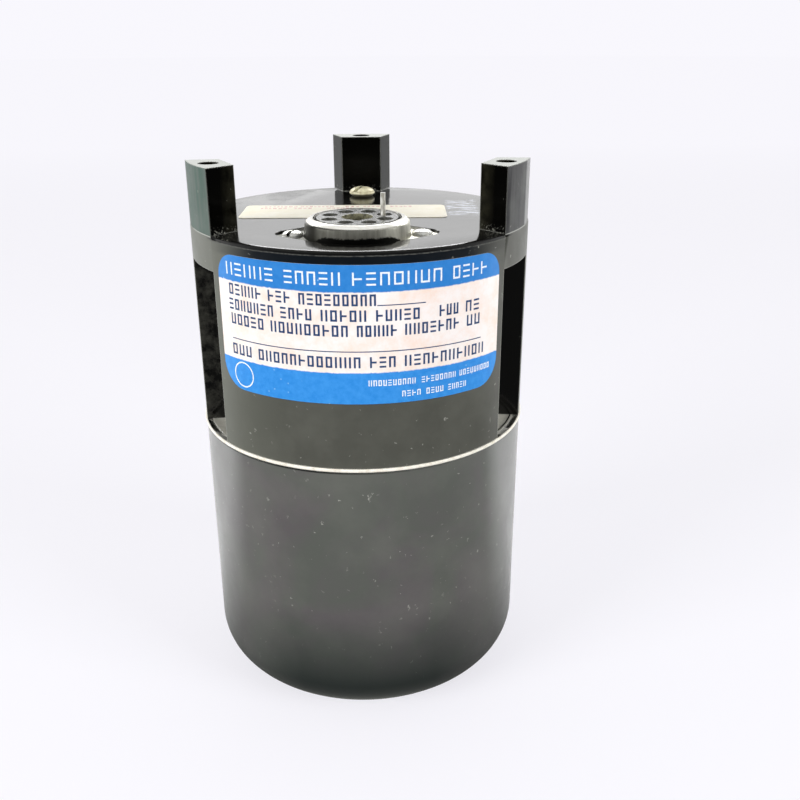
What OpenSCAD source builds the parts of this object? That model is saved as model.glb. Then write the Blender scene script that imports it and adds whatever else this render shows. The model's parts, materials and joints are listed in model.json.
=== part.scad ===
// Plug-in meter relay control unit: a round moulded case with three mounting
// posts and an octal socket stands in a deep-drawn can. The transformer, the
// relay and the amplifier board hang under a chassis plate inside the can.
// Origin: centre of the can's underside. +Z points up, the name label faces -Y.

/* [Case and can] */
// Outside diameter of the case and the can
body_d = 108; // [104:0.5:120]
// Height of the can from the floor to its rim
can_h = 91.9; // [88:0.1:110]
// Wall of the can
can_wall = 1.5; // [1:0.1:2]
// Outer radius of the can's drawn bottom corner
can_corner_r = 15.4; // [6:0.1:20]
// Height of the moulded case from its shoulder to the top plate's face
case_h = 65.3; // [60:0.1:80]
// Wall of the moulded case
case_wall = 2.5; // [2:0.1:3.2]
// Thickness of the case's top plate
plate_t = 3.2; // [2.4:0.1:5]
// Rounding of the top plate's edge
plate_edge_r = 1.3; // [0.5:0.1:2]
// Depth of the spigot that enters the can
spigot_h = 6; // [4:0.5:10]
// Radial clearance between the spigot and the can
spigot_gap = 0.25; // [0.15:0.05:0.4]
// Thickness of the gasket at the rim
gasket_t = 1; // [0.6:0.1:2]
// How far the gasket stands out past the wall
gasket_proud = 0.5; // [0.2:0.1:1]
// Gap between the gasket and the can's rim
rim_gap = 0.3; // [0.2:0.05:0.5]

/* [Posts and pockets] */
// Height of the posts above the top plate
post_h = 19.3; // [12:0.1:30]
// Radial depth of a post
post_depth = 10.4; // [9.5:0.1:11.5]
// Width of a post's flat inner face
post_inner_w = 14; // [10:0.5:16]
// Angle of a post's sides from its centre line
post_side_a = 19.9; // [12:0.5:22]
// Angle of the left post below the left-right line
left_post_a = 25.3; // [24:0.1:32]
// Angle of the right post below the left-right line
right_post_a = 27.5; // [24:0.1:32]
// Diameter of the stud hole through each post
post_hole_d = 6.2; // [5:0.1:7]
// Distance of the stud hole from the outside of the case
post_hole_in = 5.1; // [4.6:0.1:5.4]
// Thickness of the rim above the nut pockets
flange_h = 10.5; // [8:0.5:14]
// Thickness of the pocket's floor, below the case's shoulder
pocket_floor_t = 2.5; // [1.5:0.1:3.5]

/* [Socket] */
// Socket centre from the middle of the case, left to right
socket_x = -0.9; // [-3:0.1:3]
// Distance from the front of the case to the socket's centre
socket_in = 25.1; // [24:0.1:27]
// Outside diameter of the socket's drawn ring
ring_d = 31.6; // [30:0.1:34]
// Height of the ring above the top plate
ring_h = 4.7; // [3.5:0.1:7]
// Rounding of the ring's outer corner
ring_edge_r = 1.3; // [0.9:0.1:1.6]
// Inside diameter of the ring's turned-in lip
ring_lip_d = 25.2; // [24:0.1:26]
// Thickness of the saddle's sheet
saddle_t = 0.8; // [0.6:0.1:1]
// Distance between the saddle's two screws
saddle_pitch = 38.1; // [37:0.1:39]
// End radius of the saddle
saddle_end_r = 4.9; // [4.5:0.1:5.4]
// Width of the saddle's flat rim round the ring
saddle_rim = 0.6; // [0.4:0.1:1]
// Depth of the saddle's recess in the top plate
saddle_recess = 1.6; // [1.2:0.1:2]
// Clearance round the saddle in its recess
saddle_gap = 0.3; // [0.2:0.05:0.5]
// Diameter of the circle of contact holes
pin_circle_d = 17.45; // [16.5:0.05:18]
// Diameter of a contact hole in the insulator
contact_hole_d = 4.6; // [4:0.1:5]
// Diameter of the key hole
key_hole_d = 9.2; // [8.4:0.1:9.6]
// Width of the key's slot
key_slot_w = 2.4; // [1.6:0.1:3]
// Depth of the insulator's body below the top plate
insulator_drop = 8; // [6:0.5:12]
// Diameter of the pin left standing in a contact
pin_d = 1.5; // [1:0.1:2]
// Height of that pin above the insulator's face
pin_h = 6.3; // [3:0.1:10]

/* [Labels and fasteners] */
// Height of the name label
name_label_h = 41.6; // [30:0.1:44]
// Angle that the name label wraps round the case
name_label_a = 99.8; // [80:0.1:101]
// Distance from the top plate's face down to the name label
name_label_drop = 3.6; // [2:0.1:8]
// Corner radius at the label's top
label_top_r = 4.5; // [2:0.1:8]
// Corner radius at the label's bottom
label_foot_r = 8; // [2:0.1:12]
// Thickness of both labels
label_t = 0.15; // [0.1:0.01:0.3]
// Length of the label on the top plate
top_label_w = 66.5; // [50:0.5:68]
// Width of the label on the top plate
top_label_d = 21.7; // [14:0.1:22]
// Head diameter of the chassis screw
dome_head_d = 9; // [7:0.1:10]
// Head height of the chassis screw
dome_head_h = 3.1; // [2:0.1:4]
// Distance from the rear post's inner face to the chassis screw
dome_in = 9; // [8.2:0.1:12]

/* [Chassis] */
// Thickness of the chassis plate
chassis_t = 1.6; // [1:0.1:3]
// Diameter of the screw bosses in the case
boss_d = 8; // [7:0.1:9]
// Height of the screw bosses
boss_h = 20; // [12:0.5:40]
// Diameter of the hole for the wires
wire_hole_d = 14; // [12:0.5:15]
// Length of the standoffs between the chassis plate and the board
standoff_h = 70; // [66:0.5:74]
// Width of a standoff across its flats
standoff_af = 6; // [5:0.1:7]
// Distance of the standoffs from the outside of the case
standoff_in = 11.5; // [10.5:0.1:12.5]

/* [Transformer] */
// Width of the laminated core
core_w = 48; // [46:0.5:50]
// Height of the laminated core
core_h = 40; // [36:0.5:42]
// Thickness of the stack of laminations
core_stack = 20; // [16:0.5:22]
// Width of the core's middle leg
core_leg = 16; // [14:0.5:17]
// Gap between the windings and the nearest standoff
winding_gap = 1.2; // [1:0.1:3]
// Distance of the transformer to the left of the middle
transformer_x = 20; // [19.5:0.1:20.5]
// Thickness of the strap that holds the core
strap_t = 1; // [0.6:0.1:1.4]

/* [Relay] */
// Distance from the outside of the case to the relay's coil end
relay_in = 40.5; // [40:0.1:41]
// Height of the relay's yoke
yoke_h = 34; // [30:0.5:36]
// Width of the yoke
yoke_w = 20; // [18:0.5:24]
// Length of the yoke's foot
yoke_l = 25; // [24:0.5:26]
// Thickness of the yoke's sheet
yoke_t = 2; // [1.5:0.1:2.5]
// Diameter of the iron core
pole_d = 8; // [6:0.1:9]
// Diameter of the coil's flanges
coil_d = 19; // [16:0.1:20]
// Thickness of the armature
armature_t = 1.6; // [1.2:0.1:2]
// Gap left between the pole and the pulled-in armature
pole_gap = 0.35; // [0.2:0.05:0.6]
// Travel of the armature in degrees
armature_swing = 5; // [3:0.1:5]
// Diameter of the contact buttons
button_d = 4; // [3:0.1:5]

/* [Amplifier board] */
// Diameter of the round circuit board
board_d = 91; // [89:0.5:96]
// Thickness of the circuit board
board_t = 1.6; // [1.2:0.1:2]
// Diameter of the smoothing capacitor
cap_d = 16; // [12:0.5:18]
// Height of the smoothing capacitor
cap_h = 24; // [16:0.5:26]
// Length of a resistor's body
resistor_l = 9; // [6:0.5:10]
// Diameter of a resistor's body
resistor_d = 3.6; // [2.4:0.1:4]
// Diameter of the wires from the socket
wire_d = 1.7; // [1.2:0.1:2]

/* [Hidden] */
$fn = 96;

eps = 0.01;
cut = 1;
touch_gap = 0.05;
body_r = body_d / 2;
gasket_z = can_h + rim_gap;
case_z = gasket_z + gasket_t;
seat_z = case_z - pocket_floor_t;
plate_z = case_z + case_h;
post_z = plate_z + post_h;
post_in_r = body_r - post_depth;
post_hole_r = body_r - post_hole_in;
pocket_top_z = plate_z - flange_h;
rear_post_at = 89;
post_angles = [180 + left_post_a, 360 - right_post_a, rear_post_at];
socket_y = -(body_r - socket_in);
standoff_r = body_r - standoff_in;
relay_x = body_r - relay_in;
spigot_r = body_r - can_wall - spigot_gap;
spigot_in_r = spigot_r - case_wall;
label_mid_a = 268.4;
label_nick = 0.1;
label_r = body_r + touch_gap;
label_top_z = plate_z - name_label_drop;
label_foot_z = label_top_z - name_label_h;
top_label_at = [-5.2, 4.3];
top_label_turn = -2.1;
top_label_corner = 2;

module at_posts() {
    for (a = post_angles) {
        rotate([0, 0, a]) children();
    }
}

// Half the width of a post at the distance r from the middle
function post_half(r) = post_inner_w / 2 + (r - post_in_r) * tan(post_side_a);

// The post's wedge outline, grown by a wall on its inner three sides
module post_outline(grow) {
    side = grow / cos(post_side_a);
    r0 = post_in_r - grow;
    r1 = body_r + cut;
    polygon([
        [r0, -post_half(r0) - side],
        [r1, -post_half(r1) - side],
        [r1, post_half(r1) + side],
        [r0, post_half(r0) + side]
    ]);
}

module post_solid(z0, z1, grow, r) {
    intersection() {
        translate([0, 0, z0]) linear_extrude(z1 - z0) post_outline(grow);
        translate([0, 0, z0 - cut]) cylinder(h = z1 - z0 + 2 * cut, r = r);
    }
}

boss_angles = [30, 150, 270];
boss_r = spigot_in_r - boss_d / 2 - 0.8;
boss_hole_r = 1.5;
chassis_fit = 0.3;

module case_shell() {
    rotate_extrude() {
        square([body_r, case_h - plate_edge_r]);
        square([body_r - plate_edge_r, case_h]);
        translate([body_r - plate_edge_r, case_h - plate_edge_r]) circle(r = plate_edge_r, $fn = 48);
    }
}

// Walls and floors round the nut pockets, and the ribbed screw bosses
module case_inside() {
    bite = case_wall / 2;
    at_posts() {
        post_solid(case_z, plate_z - bite, case_wall, body_r - bite);
        post_solid(seat_z, case_z + cut, case_wall, spigot_r - bite);
    }
    for (a = boss_angles) {
        rotate([0, 0, a]) translate([0, 0, seat_z]) {
            translate([boss_r, 0, 0]) cylinder(h = boss_h, d = boss_d);
            translate([boss_r, -case_wall / 2, 0]) cube([spigot_r - bite - boss_r, case_wall, boss_h]);
        }
    }
}

// The saddle's outline: a middle disc and two ends joined by their tangents
module saddle_outline(grow) {
    mid_r = ring_d / 2 + saddle_rim + grow;
    end_r = saddle_end_r + grow;
    reach = saddle_pitch / 2;
    lean = asin((mid_r - end_r) / reach);
    circle(r = mid_r);
    for (s = [-1, 1]) {
        translate([s * reach, 0]) circle(r = end_r);
        polygon([
            [s * mid_r * sin(lean), mid_r * cos(lean)],
            [s * (reach + end_r * sin(lean)), end_r * cos(lean)],
            [s * (reach + end_r * sin(lean)), -end_r * cos(lean)],
            [s * mid_r * sin(lean), -mid_r * cos(lean)]
        ]);
    }
}

saddle_z = plate_z - saddle_recess;
ring_z = plate_z + ring_h;
ring_in_r = ring_d / 2 - saddle_t;
insulator_gap = 0.25;
insulator_r = ring_in_r - insulator_gap;
insulator_face_r = ring_lip_d / 2 - 0.5;
socket_hole_r = insulator_r + insulator_gap;
socket_screw_d = 3.4;
socket_screw_play = 0.3;
dome_x = 0.8;
dome_y = post_in_r - dome_in;
dome_shaft_d = 4;
dome_play = 0.25;

module at_socket() {
    translate([socket_x, socket_y, 0]) children();
}

module at_saddle_screws() {
    for (s = [-1, 1]) {
        at_socket() translate([s * saddle_pitch / 2, 0, 0]) children();
    }
}

module case_hollow() {
    translate([0, 0, case_z]) cylinder(h = case_h - plate_t, r = body_r - case_wall);
    translate([0, 0, case_z - spigot_h - cut]) cylinder(h = spigot_h + 2 * cut, r = spigot_in_r);
}

module upper_case() {
    color("#2b2b2b") difference() {
        union() {
            difference() {
                union() {
                    translate([0, 0, case_z]) case_shell();
                    translate([0, 0, case_z - spigot_h]) cylinder(h = spigot_h + cut, r = spigot_r);
                }
                case_hollow();
            }
            case_inside();
            at_posts() post_solid(pocket_top_z, post_z, 0, body_r);
        }
        at_posts() {
            translate([0, 0, case_z]) linear_extrude(pocket_top_z - case_z) post_outline(0);
            translate([post_hole_r, 0, pocket_top_z - cut])
                cylinder(h = post_z - pocket_top_z + 2 * cut, d = post_hole_d);
        }
        for (a = boss_angles) {
            rotate([0, 0, a]) translate([boss_r, 0, seat_z - cut])
                cylinder(h = boss_h - case_wall + cut, r = boss_hole_r);
        }
        at_socket() {
            translate([0, 0, saddle_z]) linear_extrude(saddle_recess + cut) saddle_outline(saddle_gap);
            translate([0, 0, plate_z - plate_t - cut]) cylinder(h = plate_t + cut, r = socket_hole_r);
        }
        at_saddle_screws() translate([0, 0, plate_z - plate_t - cut])
            cylinder(h = plate_t, d = socket_screw_d + 2 * socket_screw_play);
        translate([dome_x, dome_y, plate_z - plate_t - cut])
            cylinder(h = plate_t + 2 * cut, d = dome_shaft_d + 2 * dome_play);
    }
}

// Half section of a round cup with a filleted bottom corner
module cup_profile(r, h, corner) {
    translate([0, corner]) square([r, h - corner]);
    square([r - corner, h]);
    translate([r - corner, corner]) circle(r = corner);
}

module cover_can() {
    color("#3a3a3a") difference() {
        rotate_extrude() cup_profile(body_r, can_h, can_corner_r);
        translate([0, 0, can_wall])
            rotate_extrude() cup_profile(body_r - can_wall, can_h, can_corner_r - can_wall);
    }
}

module rim_gasket() {
    color("#f0ead8") translate([0, 0, gasket_z]) difference() {
        cylinder(h = gasket_t, r = body_r + gasket_proud);
        translate([0, 0, -cut]) cylinder(h = gasket_t + 2 * cut, r = spigot_r + spigot_gap);
    }
}

// Takes the square corner off a label, at an angle a and a height z on the case
module label_corner(a, z, r, side, up) {
    rotate([0, 0, a]) translate([body_r - cut, 0, z]) rotate([0, 90, 0]) difference() {
        translate([up > 0 ? -r - cut : 0, side > 0 ? 0 : -r - cut, 0]) cube([r + cut, r + cut, 3 * cut]);
        translate([0, 0, -cut]) cylinder(h = 5 * cut, r = r, $fn = 48);
    }
}

module name_label() {
    half_a = name_label_a / 2;
    color("#2f80cf") difference() {
        translate([0, 0, label_foot_z]) rotate([0, 0, label_mid_a - half_a])
            rotate_extrude(angle = name_label_a) translate([label_r, 0]) square([label_t, name_label_h]);
        for (side = [-1, 1]) {
            top_in = label_top_r - label_nick;
            foot_in = label_foot_r - label_nick;
            top_a = label_mid_a + side * (half_a - top_in / body_r * 180 / PI);
            foot_a = label_mid_a + side * (half_a - foot_in / body_r * 180 / PI);
            label_corner(top_a, label_top_z - top_in, label_top_r, side, 1);
            label_corner(foot_a, label_foot_z + foot_in, label_foot_r, side, -1);
        }
    }
}

module rounded_plate(w, d, h, r) {
    linear_extrude(h) {
        square([w - 2 * r, d], center = true);
        square([w, d - 2 * r], center = true);
        for (x = [-1, 1], y = [-1, 1]) {
            translate([x * (w / 2 - r), y * (d / 2 - r)]) circle(r = r, $fn = 32);
        }
    }
}

module top_label() {
    color("#f3ead2") translate([top_label_at.x, top_label_at.y, plate_z]) rotate([0, 0, top_label_turn])
        rounded_plate(top_label_w, top_label_d, label_t, top_label_corner);
}

// Sheet saddle with the drawn ring, whose lip turns in over the insulator
module socket_saddle() {
    up = ring_z - saddle_z;
    color("#b9b7ae") at_socket() translate([0, 0, saddle_z]) difference() {
        union() {
            linear_extrude(saddle_t) saddle_outline(0);
            rotate_extrude() {
                square([ring_d / 2, up - ring_edge_r]);
                square([ring_d / 2 - ring_edge_r, up]);
                translate([ring_d / 2 - ring_edge_r, up - ring_edge_r]) circle(r = ring_edge_r, $fn = 48);
            }
        }
        translate([0, 0, -cut]) cylinder(h = up - saddle_t + cut, r = ring_in_r);
        translate([0, 0, -cut]) cylinder(h = up + 2 * cut, d = ring_lip_d);
        for (s = [-1, 1]) {
            translate([s * saddle_pitch / 2, 0, -cut])
                cylinder(h = 2 * cut + saddle_t, d = socket_screw_d + 2 * socket_screw_play);
        }
    }
}

contact_count = 8;
contact_step = 360 / contact_count;
contact_od = contact_hole_d - 0.4;
contact_bore = 2.9;
pin_aside = 0.4;
contact_sink = 1.2;
tail_w = 2;
tail_t = 0.5;
tail_l = 6;
insulator_foot_z = plate_z - insulator_drop;
insulator_step = 1;

module at_contacts() {
    for (i = [0 : contact_count - 1]) {
        at_socket() rotate([0, 0, contact_step * (i + 0.5)]) translate([pin_circle_d / 2, 0, 0]) children();
    }
}

module socket_insulator() {
    body_h = ring_z - saddle_t - insulator_gap - insulator_foot_z;
    color("#3c3d3b") difference() {
        at_socket() union() {
            translate([0, 0, insulator_foot_z]) cylinder(h = body_h, r = insulator_r);
            translate([0, 0, insulator_foot_z]) cylinder(h = ring_z - insulator_foot_z, r = insulator_face_r);
        }
        at_contacts() translate([0, 0, insulator_foot_z - cut])
            cylinder(h = ring_z - insulator_foot_z + 2 * cut, d = contact_hole_d, $fn = 48);
        at_socket() translate([0, 0, insulator_foot_z - cut]) {
            cylinder(h = ring_z - insulator_foot_z + 2 * cut, d = key_hole_d);
            translate([-key_slot_w / 2, -key_hole_d / 2 - insulator_step, 0])
                cube([key_slot_w, key_hole_d / 2, ring_z - insulator_foot_z + 2 * cut]);
        }
    }
}

module socket_contacts() {
    tube_h = ring_z - contact_sink - insulator_foot_z;
    color("#c8b98a") at_contacts() {
        translate([0, 0, insulator_foot_z]) difference() {
            cylinder(h = tube_h, d = contact_od, $fn = 48);
            translate([0, 0, tail_t]) cylinder(h = tube_h, d = contact_bore, $fn = 48);
        }
        translate([-tail_t / 2, -tail_w / 2, insulator_foot_z - tail_l]) cube([tail_t, tail_w, tail_l + eps]);
    }
}

module standing_pin() {
    foot_z = insulator_foot_z + tail_t + touch_gap;
    color("#a9a79c") at_socket() translate([-pin_aside, 0, foot_z]) rotate([0, 0, contact_step / 2])
        translate([pin_circle_d / 2, 0, 0]) cylinder(h = ring_z + pin_h - foot_z, d = pin_d, $fn = 32);
}

pan_head_d = 6.4;
pan_head_h = 2.1;
slot_w = 0.9;
slot_depth = 0.9;
nut_t = 2.4;
nut_af = 6.4;
small_head_d = 5.4;
small_head_h = 1.9;
socket_turn = 35;

// A slotted pan head with its shaft pointing down from z = 0
module pan_screw(head_d, head_h, shaft_d, shaft_l, turn) {
    edge = head_h * 0.4;
    difference() {
        rotate_extrude() {
            square([head_d / 2, head_h - edge]);
            square([head_d / 2 - edge, head_h]);
            translate([head_d / 2 - edge, head_h - edge]) circle(r = edge, $fn = 32);
        }
        rotate([0, 0, turn]) translate([-head_d, -slot_w / 2, head_h - slot_depth])
            cube([2 * head_d, slot_w, slot_depth + cut]);
    }
    translate([0, 0, -shaft_l]) cylinder(h = shaft_l + eps, d = shaft_d, $fn = 32);
}

module hex_nut(af, h, bore) {
    difference() {
        cylinder(h = h, d = af / cos(30), $fn = 6);
        translate([0, 0, -cut]) cylinder(h = h + 2 * cut, d = bore, $fn = 32);
    }
}

module socket_screws() {
    reach = saddle_t + plate_t - saddle_recess + nut_t + 1;
    color("#c9c9c4") at_saddle_screws() translate([0, 0, saddle_z + saddle_t])
        pan_screw(pan_head_d, pan_head_h, socket_screw_d, reach, socket_turn);
}

module socket_nuts() {
    color("#c9c9c4") at_saddle_screws() translate([0, 0, plate_z - plate_t - nut_t])
        hex_nut(nut_af, nut_t, socket_screw_d + 2 * touch_gap);
}

pillar_af = 8;
pillar_z = seat_z;
pillar_h = plate_z - plate_t - pillar_z;
thread_gap = 2 * touch_gap;
thread_l = 8;

module chassis_screw() {
    edge_r = (pow(dome_head_d / 2, 2) + pow(dome_head_h, 2)) / (2 * dome_head_h);
    color("#e2d8b8") translate([dome_x, dome_y, plate_z]) {
        difference() {
            intersection() {
                translate([0, 0, dome_head_h - edge_r]) sphere(r = edge_r);
                cylinder(h = dome_head_h + cut, d = dome_head_d);
            }
            rotate([0, 0, 40]) translate([-dome_head_d, -slot_w / 2, dome_head_h - 1.4 * slot_depth])
                cube([2 * dome_head_d, slot_w, 2 * slot_depth]);
        }
        translate([0, 0, -plate_t - thread_l])
            cylinder(h = plate_t + thread_l + eps, d = dome_shaft_d, $fn = 32);
    }
}

module chassis_pillar() {
    color("#b5a36a") translate([dome_x, dome_y, pillar_z]) difference() {
        cylinder(h = pillar_h, d = pillar_af / cos(30), $fn = 6);
        for (z = [-cut, pillar_h - thread_l - cut]) {
            translate([0, 0, z]) cylinder(h = thread_l + 2 * cut, d = dome_shaft_d + thread_gap, $fn = 48);
        }
    }
}

pillar_head_d = 7;
pillar_head_h = 2.4;
pillar_turn = 20;

module pillar_screw() {
    color("#c9c9c4") translate([dome_x, dome_y, chassis_z]) rotate([180, 0, 0])
        pan_screw(pillar_head_d, pillar_head_h, dome_shaft_d, chassis_t + thread_l - 1, pillar_turn);
}

chassis_z = seat_z - chassis_t;
chassis_r = spigot_in_r - chassis_fit;
plate_screw_d = 2.8;
wire_hole_at = [socket_x, socket_y - 1];
strap_foot = 9;
core_out = core_w / 2 + strap_t;
strap_screw_y = core_out + strap_foot / 2;
strap_screw_d = 3.5;
standoff_angles = [60, 180, 300];
standoff_screw_d = 3;
pole_x = 11;
relay_screw_d = 3;
relay_screw_at = [22, 7];
relay_bore = 2.6;
screw_play = 0.2;

module at_standoffs() {
    for (a = standoff_angles) {
        rotate([0, 0, a]) translate([standoff_r, 0, 0]) children();
    }
}

module at_strap_screws() {
    for (s = [-1, 1]) {
        translate([-transformer_x, s * strap_screw_y, 0]) children();
    }
}

module at_plate_screws() {
    for (a = boss_angles) {
        rotate([0, 0, a]) translate([boss_r, 0, 0]) children();
    }
}

// The relay hangs upside down: its own z runs down from the chassis plate
module at_relay() {
    translate([relay_x, 0, chassis_z]) mirror([0, 0, 1]) children();
}

module chassis_plate() {
    color("#b7b3a2") translate([0, 0, chassis_z]) difference() {
        cylinder(h = chassis_t, r = chassis_r);
        translate([wire_hole_at.x, wire_hole_at.y, -cut])
            cylinder(h = chassis_t + 2 * cut, d = wire_hole_d);
        translate([dome_x, dome_y, -cut])
            cylinder(h = chassis_t + 2 * cut, d = dome_shaft_d + 2 * screw_play);
        at_plate_screws() translate([0, 0, -cut])
            cylinder(h = chassis_t + 2 * cut, d = plate_screw_d + 2 * screw_play);
        at_strap_screws() translate([0, 0, -cut])
            cylinder(h = chassis_t + 2 * cut, d = strap_screw_d + 2 * screw_play);
        at_standoffs() translate([0, 0, -cut])
            cylinder(h = chassis_t + 2 * cut, d = standoff_screw_d + 2 * screw_play);
        for (s = [-1, 1]) {
            translate([relay_x + relay_screw_at.x, s * relay_screw_at.y, -cut])
                cylinder(h = chassis_t + 2 * cut, d = relay_screw_d + 2 * screw_play);
        }
    }
}

plate_screw_l = 9;
plate_turn = 15;

module plate_screws() {
    color("#c9c9c4") at_plate_screws() translate([0, 0, chassis_z]) rotate([180, 0, 0])
        pan_screw(small_head_d, small_head_h, plate_screw_d, chassis_t + plate_screw_l, plate_turn);
}

grommet_lip = 1.4;
grommet_h = 1.2;
grommet_wall = 1.5;

module wire_grommet() {
    bore = wire_hole_d - 2 * grommet_wall;
    color("#1c1c1c") translate([wire_hole_at.x, wire_hole_at.y, 0]) difference() {
        union() {
            for (z = [chassis_z - grommet_h, seat_z]) {
                translate([0, 0, z]) cylinder(h = grommet_h, d = wire_hole_d + 2 * grommet_lip);
            }
            translate([0, 0, chassis_z - grommet_h])
                cylinder(h = chassis_t + 2 * grommet_h, d = wire_hole_d - 2 * touch_gap);
        }
        translate([0, 0, chassis_z - grommet_h - cut])
            cylinder(h = chassis_t + 2 * grommet_h + 2 * cut, d = bore);
    }
}

core_top_z = chassis_z - touch_gap;
core_z = core_top_z - core_h;
yoke_leg = core_leg / 2;
window_h = core_h - 2 * yoke_leg;
winding_out = standoff_r - standoff_af / cos(30) / 2 - winding_gap - transformer_x - core_stack / 2;
window_w = (core_w - core_leg) / 2 - yoke_leg;
bobbin_gap = 0.2;
bobbin_t = 1;
window_mid_z = core_z + core_h / 2;

module at_transformer() {
    translate([-transformer_x, 0, window_mid_z]) children();
}

module transformer_core() {
    color("#6c6a66") at_transformer() difference() {
        cube([core_stack, core_w, core_h], center = true);
        for (s = [-1, 1]) {
            translate([0, s * (core_leg + window_w) / 2, 0])
                cube([core_stack + 2 * cut, window_w, window_h], center = true);
        }
    }
}

tube_x = core_stack / 2 + bobbin_gap + bobbin_t;
tube_y = core_leg / 2 + bobbin_gap + bobbin_t;
flange_x = core_stack / 2 + winding_out;
flange_y = core_leg / 2 + window_w - bobbin_gap;
bobbin_h = window_h - 2 * bobbin_gap;
section_h = (bobbin_h - 3 * bobbin_t) / 2;
wind_in = 0.6;

module bobbin_slab(x, y, h) {
    translate([0, 0, -h / 2]) rounded_plate(2 * x, 2 * y, h, 2);
}

module transformer_bobbin() {
    color("#d8cfae") at_transformer() difference() {
        union() {
            cube([2 * tube_x, 2 * tube_y, bobbin_h], center = true);
            for (z = [-1, 0, 1]) {
                translate([0, 0, z * (bobbin_h - bobbin_t) / 2]) bobbin_slab(flange_x, flange_y, bobbin_t);
            }
        }
        cube([2 * (tube_x - bobbin_t), 2 * (tube_y - bobbin_t), bobbin_h + 2 * cut], center = true);
    }
}

module transformer_winding(side) {
    translate([0, 0, side * (section_h + bobbin_t) / 2]) difference() {
        bobbin_slab(flange_x - wind_in, flange_y - wind_in, section_h - 2 * touch_gap);
        cube([2 * (tube_x + touch_gap), 2 * (tube_y + touch_gap), section_h + cut], center = true);
    }
}

module primary_winding() {
    color("#a9822f") at_transformer() transformer_winding(1);
}

module secondary_winding() {
    color("#8c3b22") at_transformer() transformer_winding(-1);
}

// Bent strap: a floor under the core, two sides and two feet on the plate
module transformer_strap() {
    strap_w = core_stack - 4;
    side_h = core_h + strap_t + touch_gap;
    top_z = chassis_z;
    color("#a7a496") translate([-transformer_x - strap_w / 2, 0, 0]) difference() {
        union() {
            translate([0, -core_out - touch_gap, core_z - strap_t - touch_gap])
                cube([strap_w, 2 * (core_out + touch_gap), strap_t]);
            for (s = [0, 1]) {
                mirror([0, s, 0]) {
                    translate([0, core_w / 2 + touch_gap, core_z - strap_t - touch_gap])
                        cube([strap_w, strap_t, side_h + touch_gap]);
                    translate([0, core_w / 2 + touch_gap, top_z - strap_t])
                        cube([strap_w, strap_t + strap_foot, strap_t]);
                }
            }
        }
        for (s = [-1, 1]) {
            translate([strap_w / 2, s * strap_screw_y, top_z - strap_t - cut])
                cylinder(h = strap_t + 2 * cut, d = strap_screw_d + 2 * screw_play);
        }
    }
}

strap_turn = 60;

// Screws up through the strap and the plate, each with its nut on top
module strap_screws() {
    grip = strap_t + chassis_t;
    color("#c9c9c4") at_strap_screws() translate([0, 0, chassis_z - strap_t]) {
        rotate([180, 0, 0])
            pan_screw(pan_head_d, pan_head_h, strap_screw_d, grip + nut_t + 1, strap_turn);
        translate([0, 0, grip]) cylinder(h = nut_t, d = nut_af / cos(30), $fn = 6);
    }
}

module relay_yoke() {
    color("#9c9a92") at_relay() difference() {
        union() {
            translate([0, -yoke_w / 2, 0]) cube([yoke_l, yoke_w, yoke_t]);
            translate([yoke_l - yoke_t, -yoke_w / 2, 0]) cube([yoke_t, yoke_w, yoke_h]);
            translate([yoke_l - eps, -spring_tab_w / 2, spring_foot_z])
                cube([spring_x - yoke_l + spring_tab_w / 2, spring_tab_w, yoke_t / 2]);
        }
        translate([pole_x, 0, -cut]) cylinder(h = yoke_t + 2 * cut, d = pole_d + 2 * touch_gap);
        for (s = [-1, 1]) {
            translate([relay_screw_at.x, s * relay_screw_at.y, -cut])
                cylinder(h = yoke_t + 2 * cut, d = relay_bore);
        }
        translate([spring_x, 0, spring_foot_z - cut]) cylinder(h = yoke_t + 2 * cut, d = spring_hook_d);
    }
}

shoe_d = 13;
shoe_t = 1.6;
armature_z = yoke_h + rim_gap;
hinge_x = yoke_l - yoke_t;
armature_tip = pole_x - shoe_d / 2;
pole_top = armature_z - (hinge_x - armature_tip) * sin(armature_swing) - pole_gap;
coil_gap = 0.25;
coil_flange_t = 1;
coil_foot = yoke_t + touch_gap;
coil_head = pole_top - shoe_t - touch_gap;
coil_tube_r = pole_d / 2 + coil_gap + coil_flange_t;
spring_x = 30;
spring_tab_w = 5;
spring_foot_z = 14;
spring_hook_d = 2;
spring_r = 2.1;
spring_wire_r = 0.35;
spring_turns = 9;

module relay_pole() {
    color("#a3a29b") at_relay() {
        cylinder_at(pole_x, 0, pole_top, pole_d);
        translate([pole_x, 0, pole_top - shoe_t]) cylinder(h = shoe_t, d = shoe_d);
    }
}

module cylinder_at(x, z0, z1, d) {
    translate([x, 0, z0]) cylinder(h = z1 - z0, d = d);
}

module relay_bobbin() {
    color("#e4dcc3") at_relay() difference() {
        union() {
            cylinder_at(pole_x, coil_foot, coil_head, 2 * coil_tube_r);
            cylinder_at(pole_x, coil_foot, coil_foot + coil_flange_t, coil_d);
            cylinder_at(pole_x, coil_head - coil_flange_t, coil_head, coil_d);
        }
        cylinder_at(pole_x, 0, yoke_h, pole_d + 2 * coil_gap);
    }
}

module relay_winding() {
    foot = coil_foot + coil_flange_t + touch_gap;
    head = coil_head - coil_flange_t - touch_gap;
    color("#9a4a24") at_relay() difference() {
        cylinder_at(pole_x, foot, head, coil_d - 2 * wind_in);
        cylinder_at(pole_x, 0, yoke_h, 2 * (coil_tube_r + touch_gap));
    }
}

armature_w = yoke_w - 3;
tail_out = spring_x + spring_tab_w / 2 + 0.2;
rivet_d = 2.4;
pad_t = 1;
pad_l = 10;
arm_t = 0.4;
arm_w = 5;
arm_z = armature_z + armature_t + pad_t;
arm_tip = -9;
button_x = -6.5;
button_t = 1;

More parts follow.
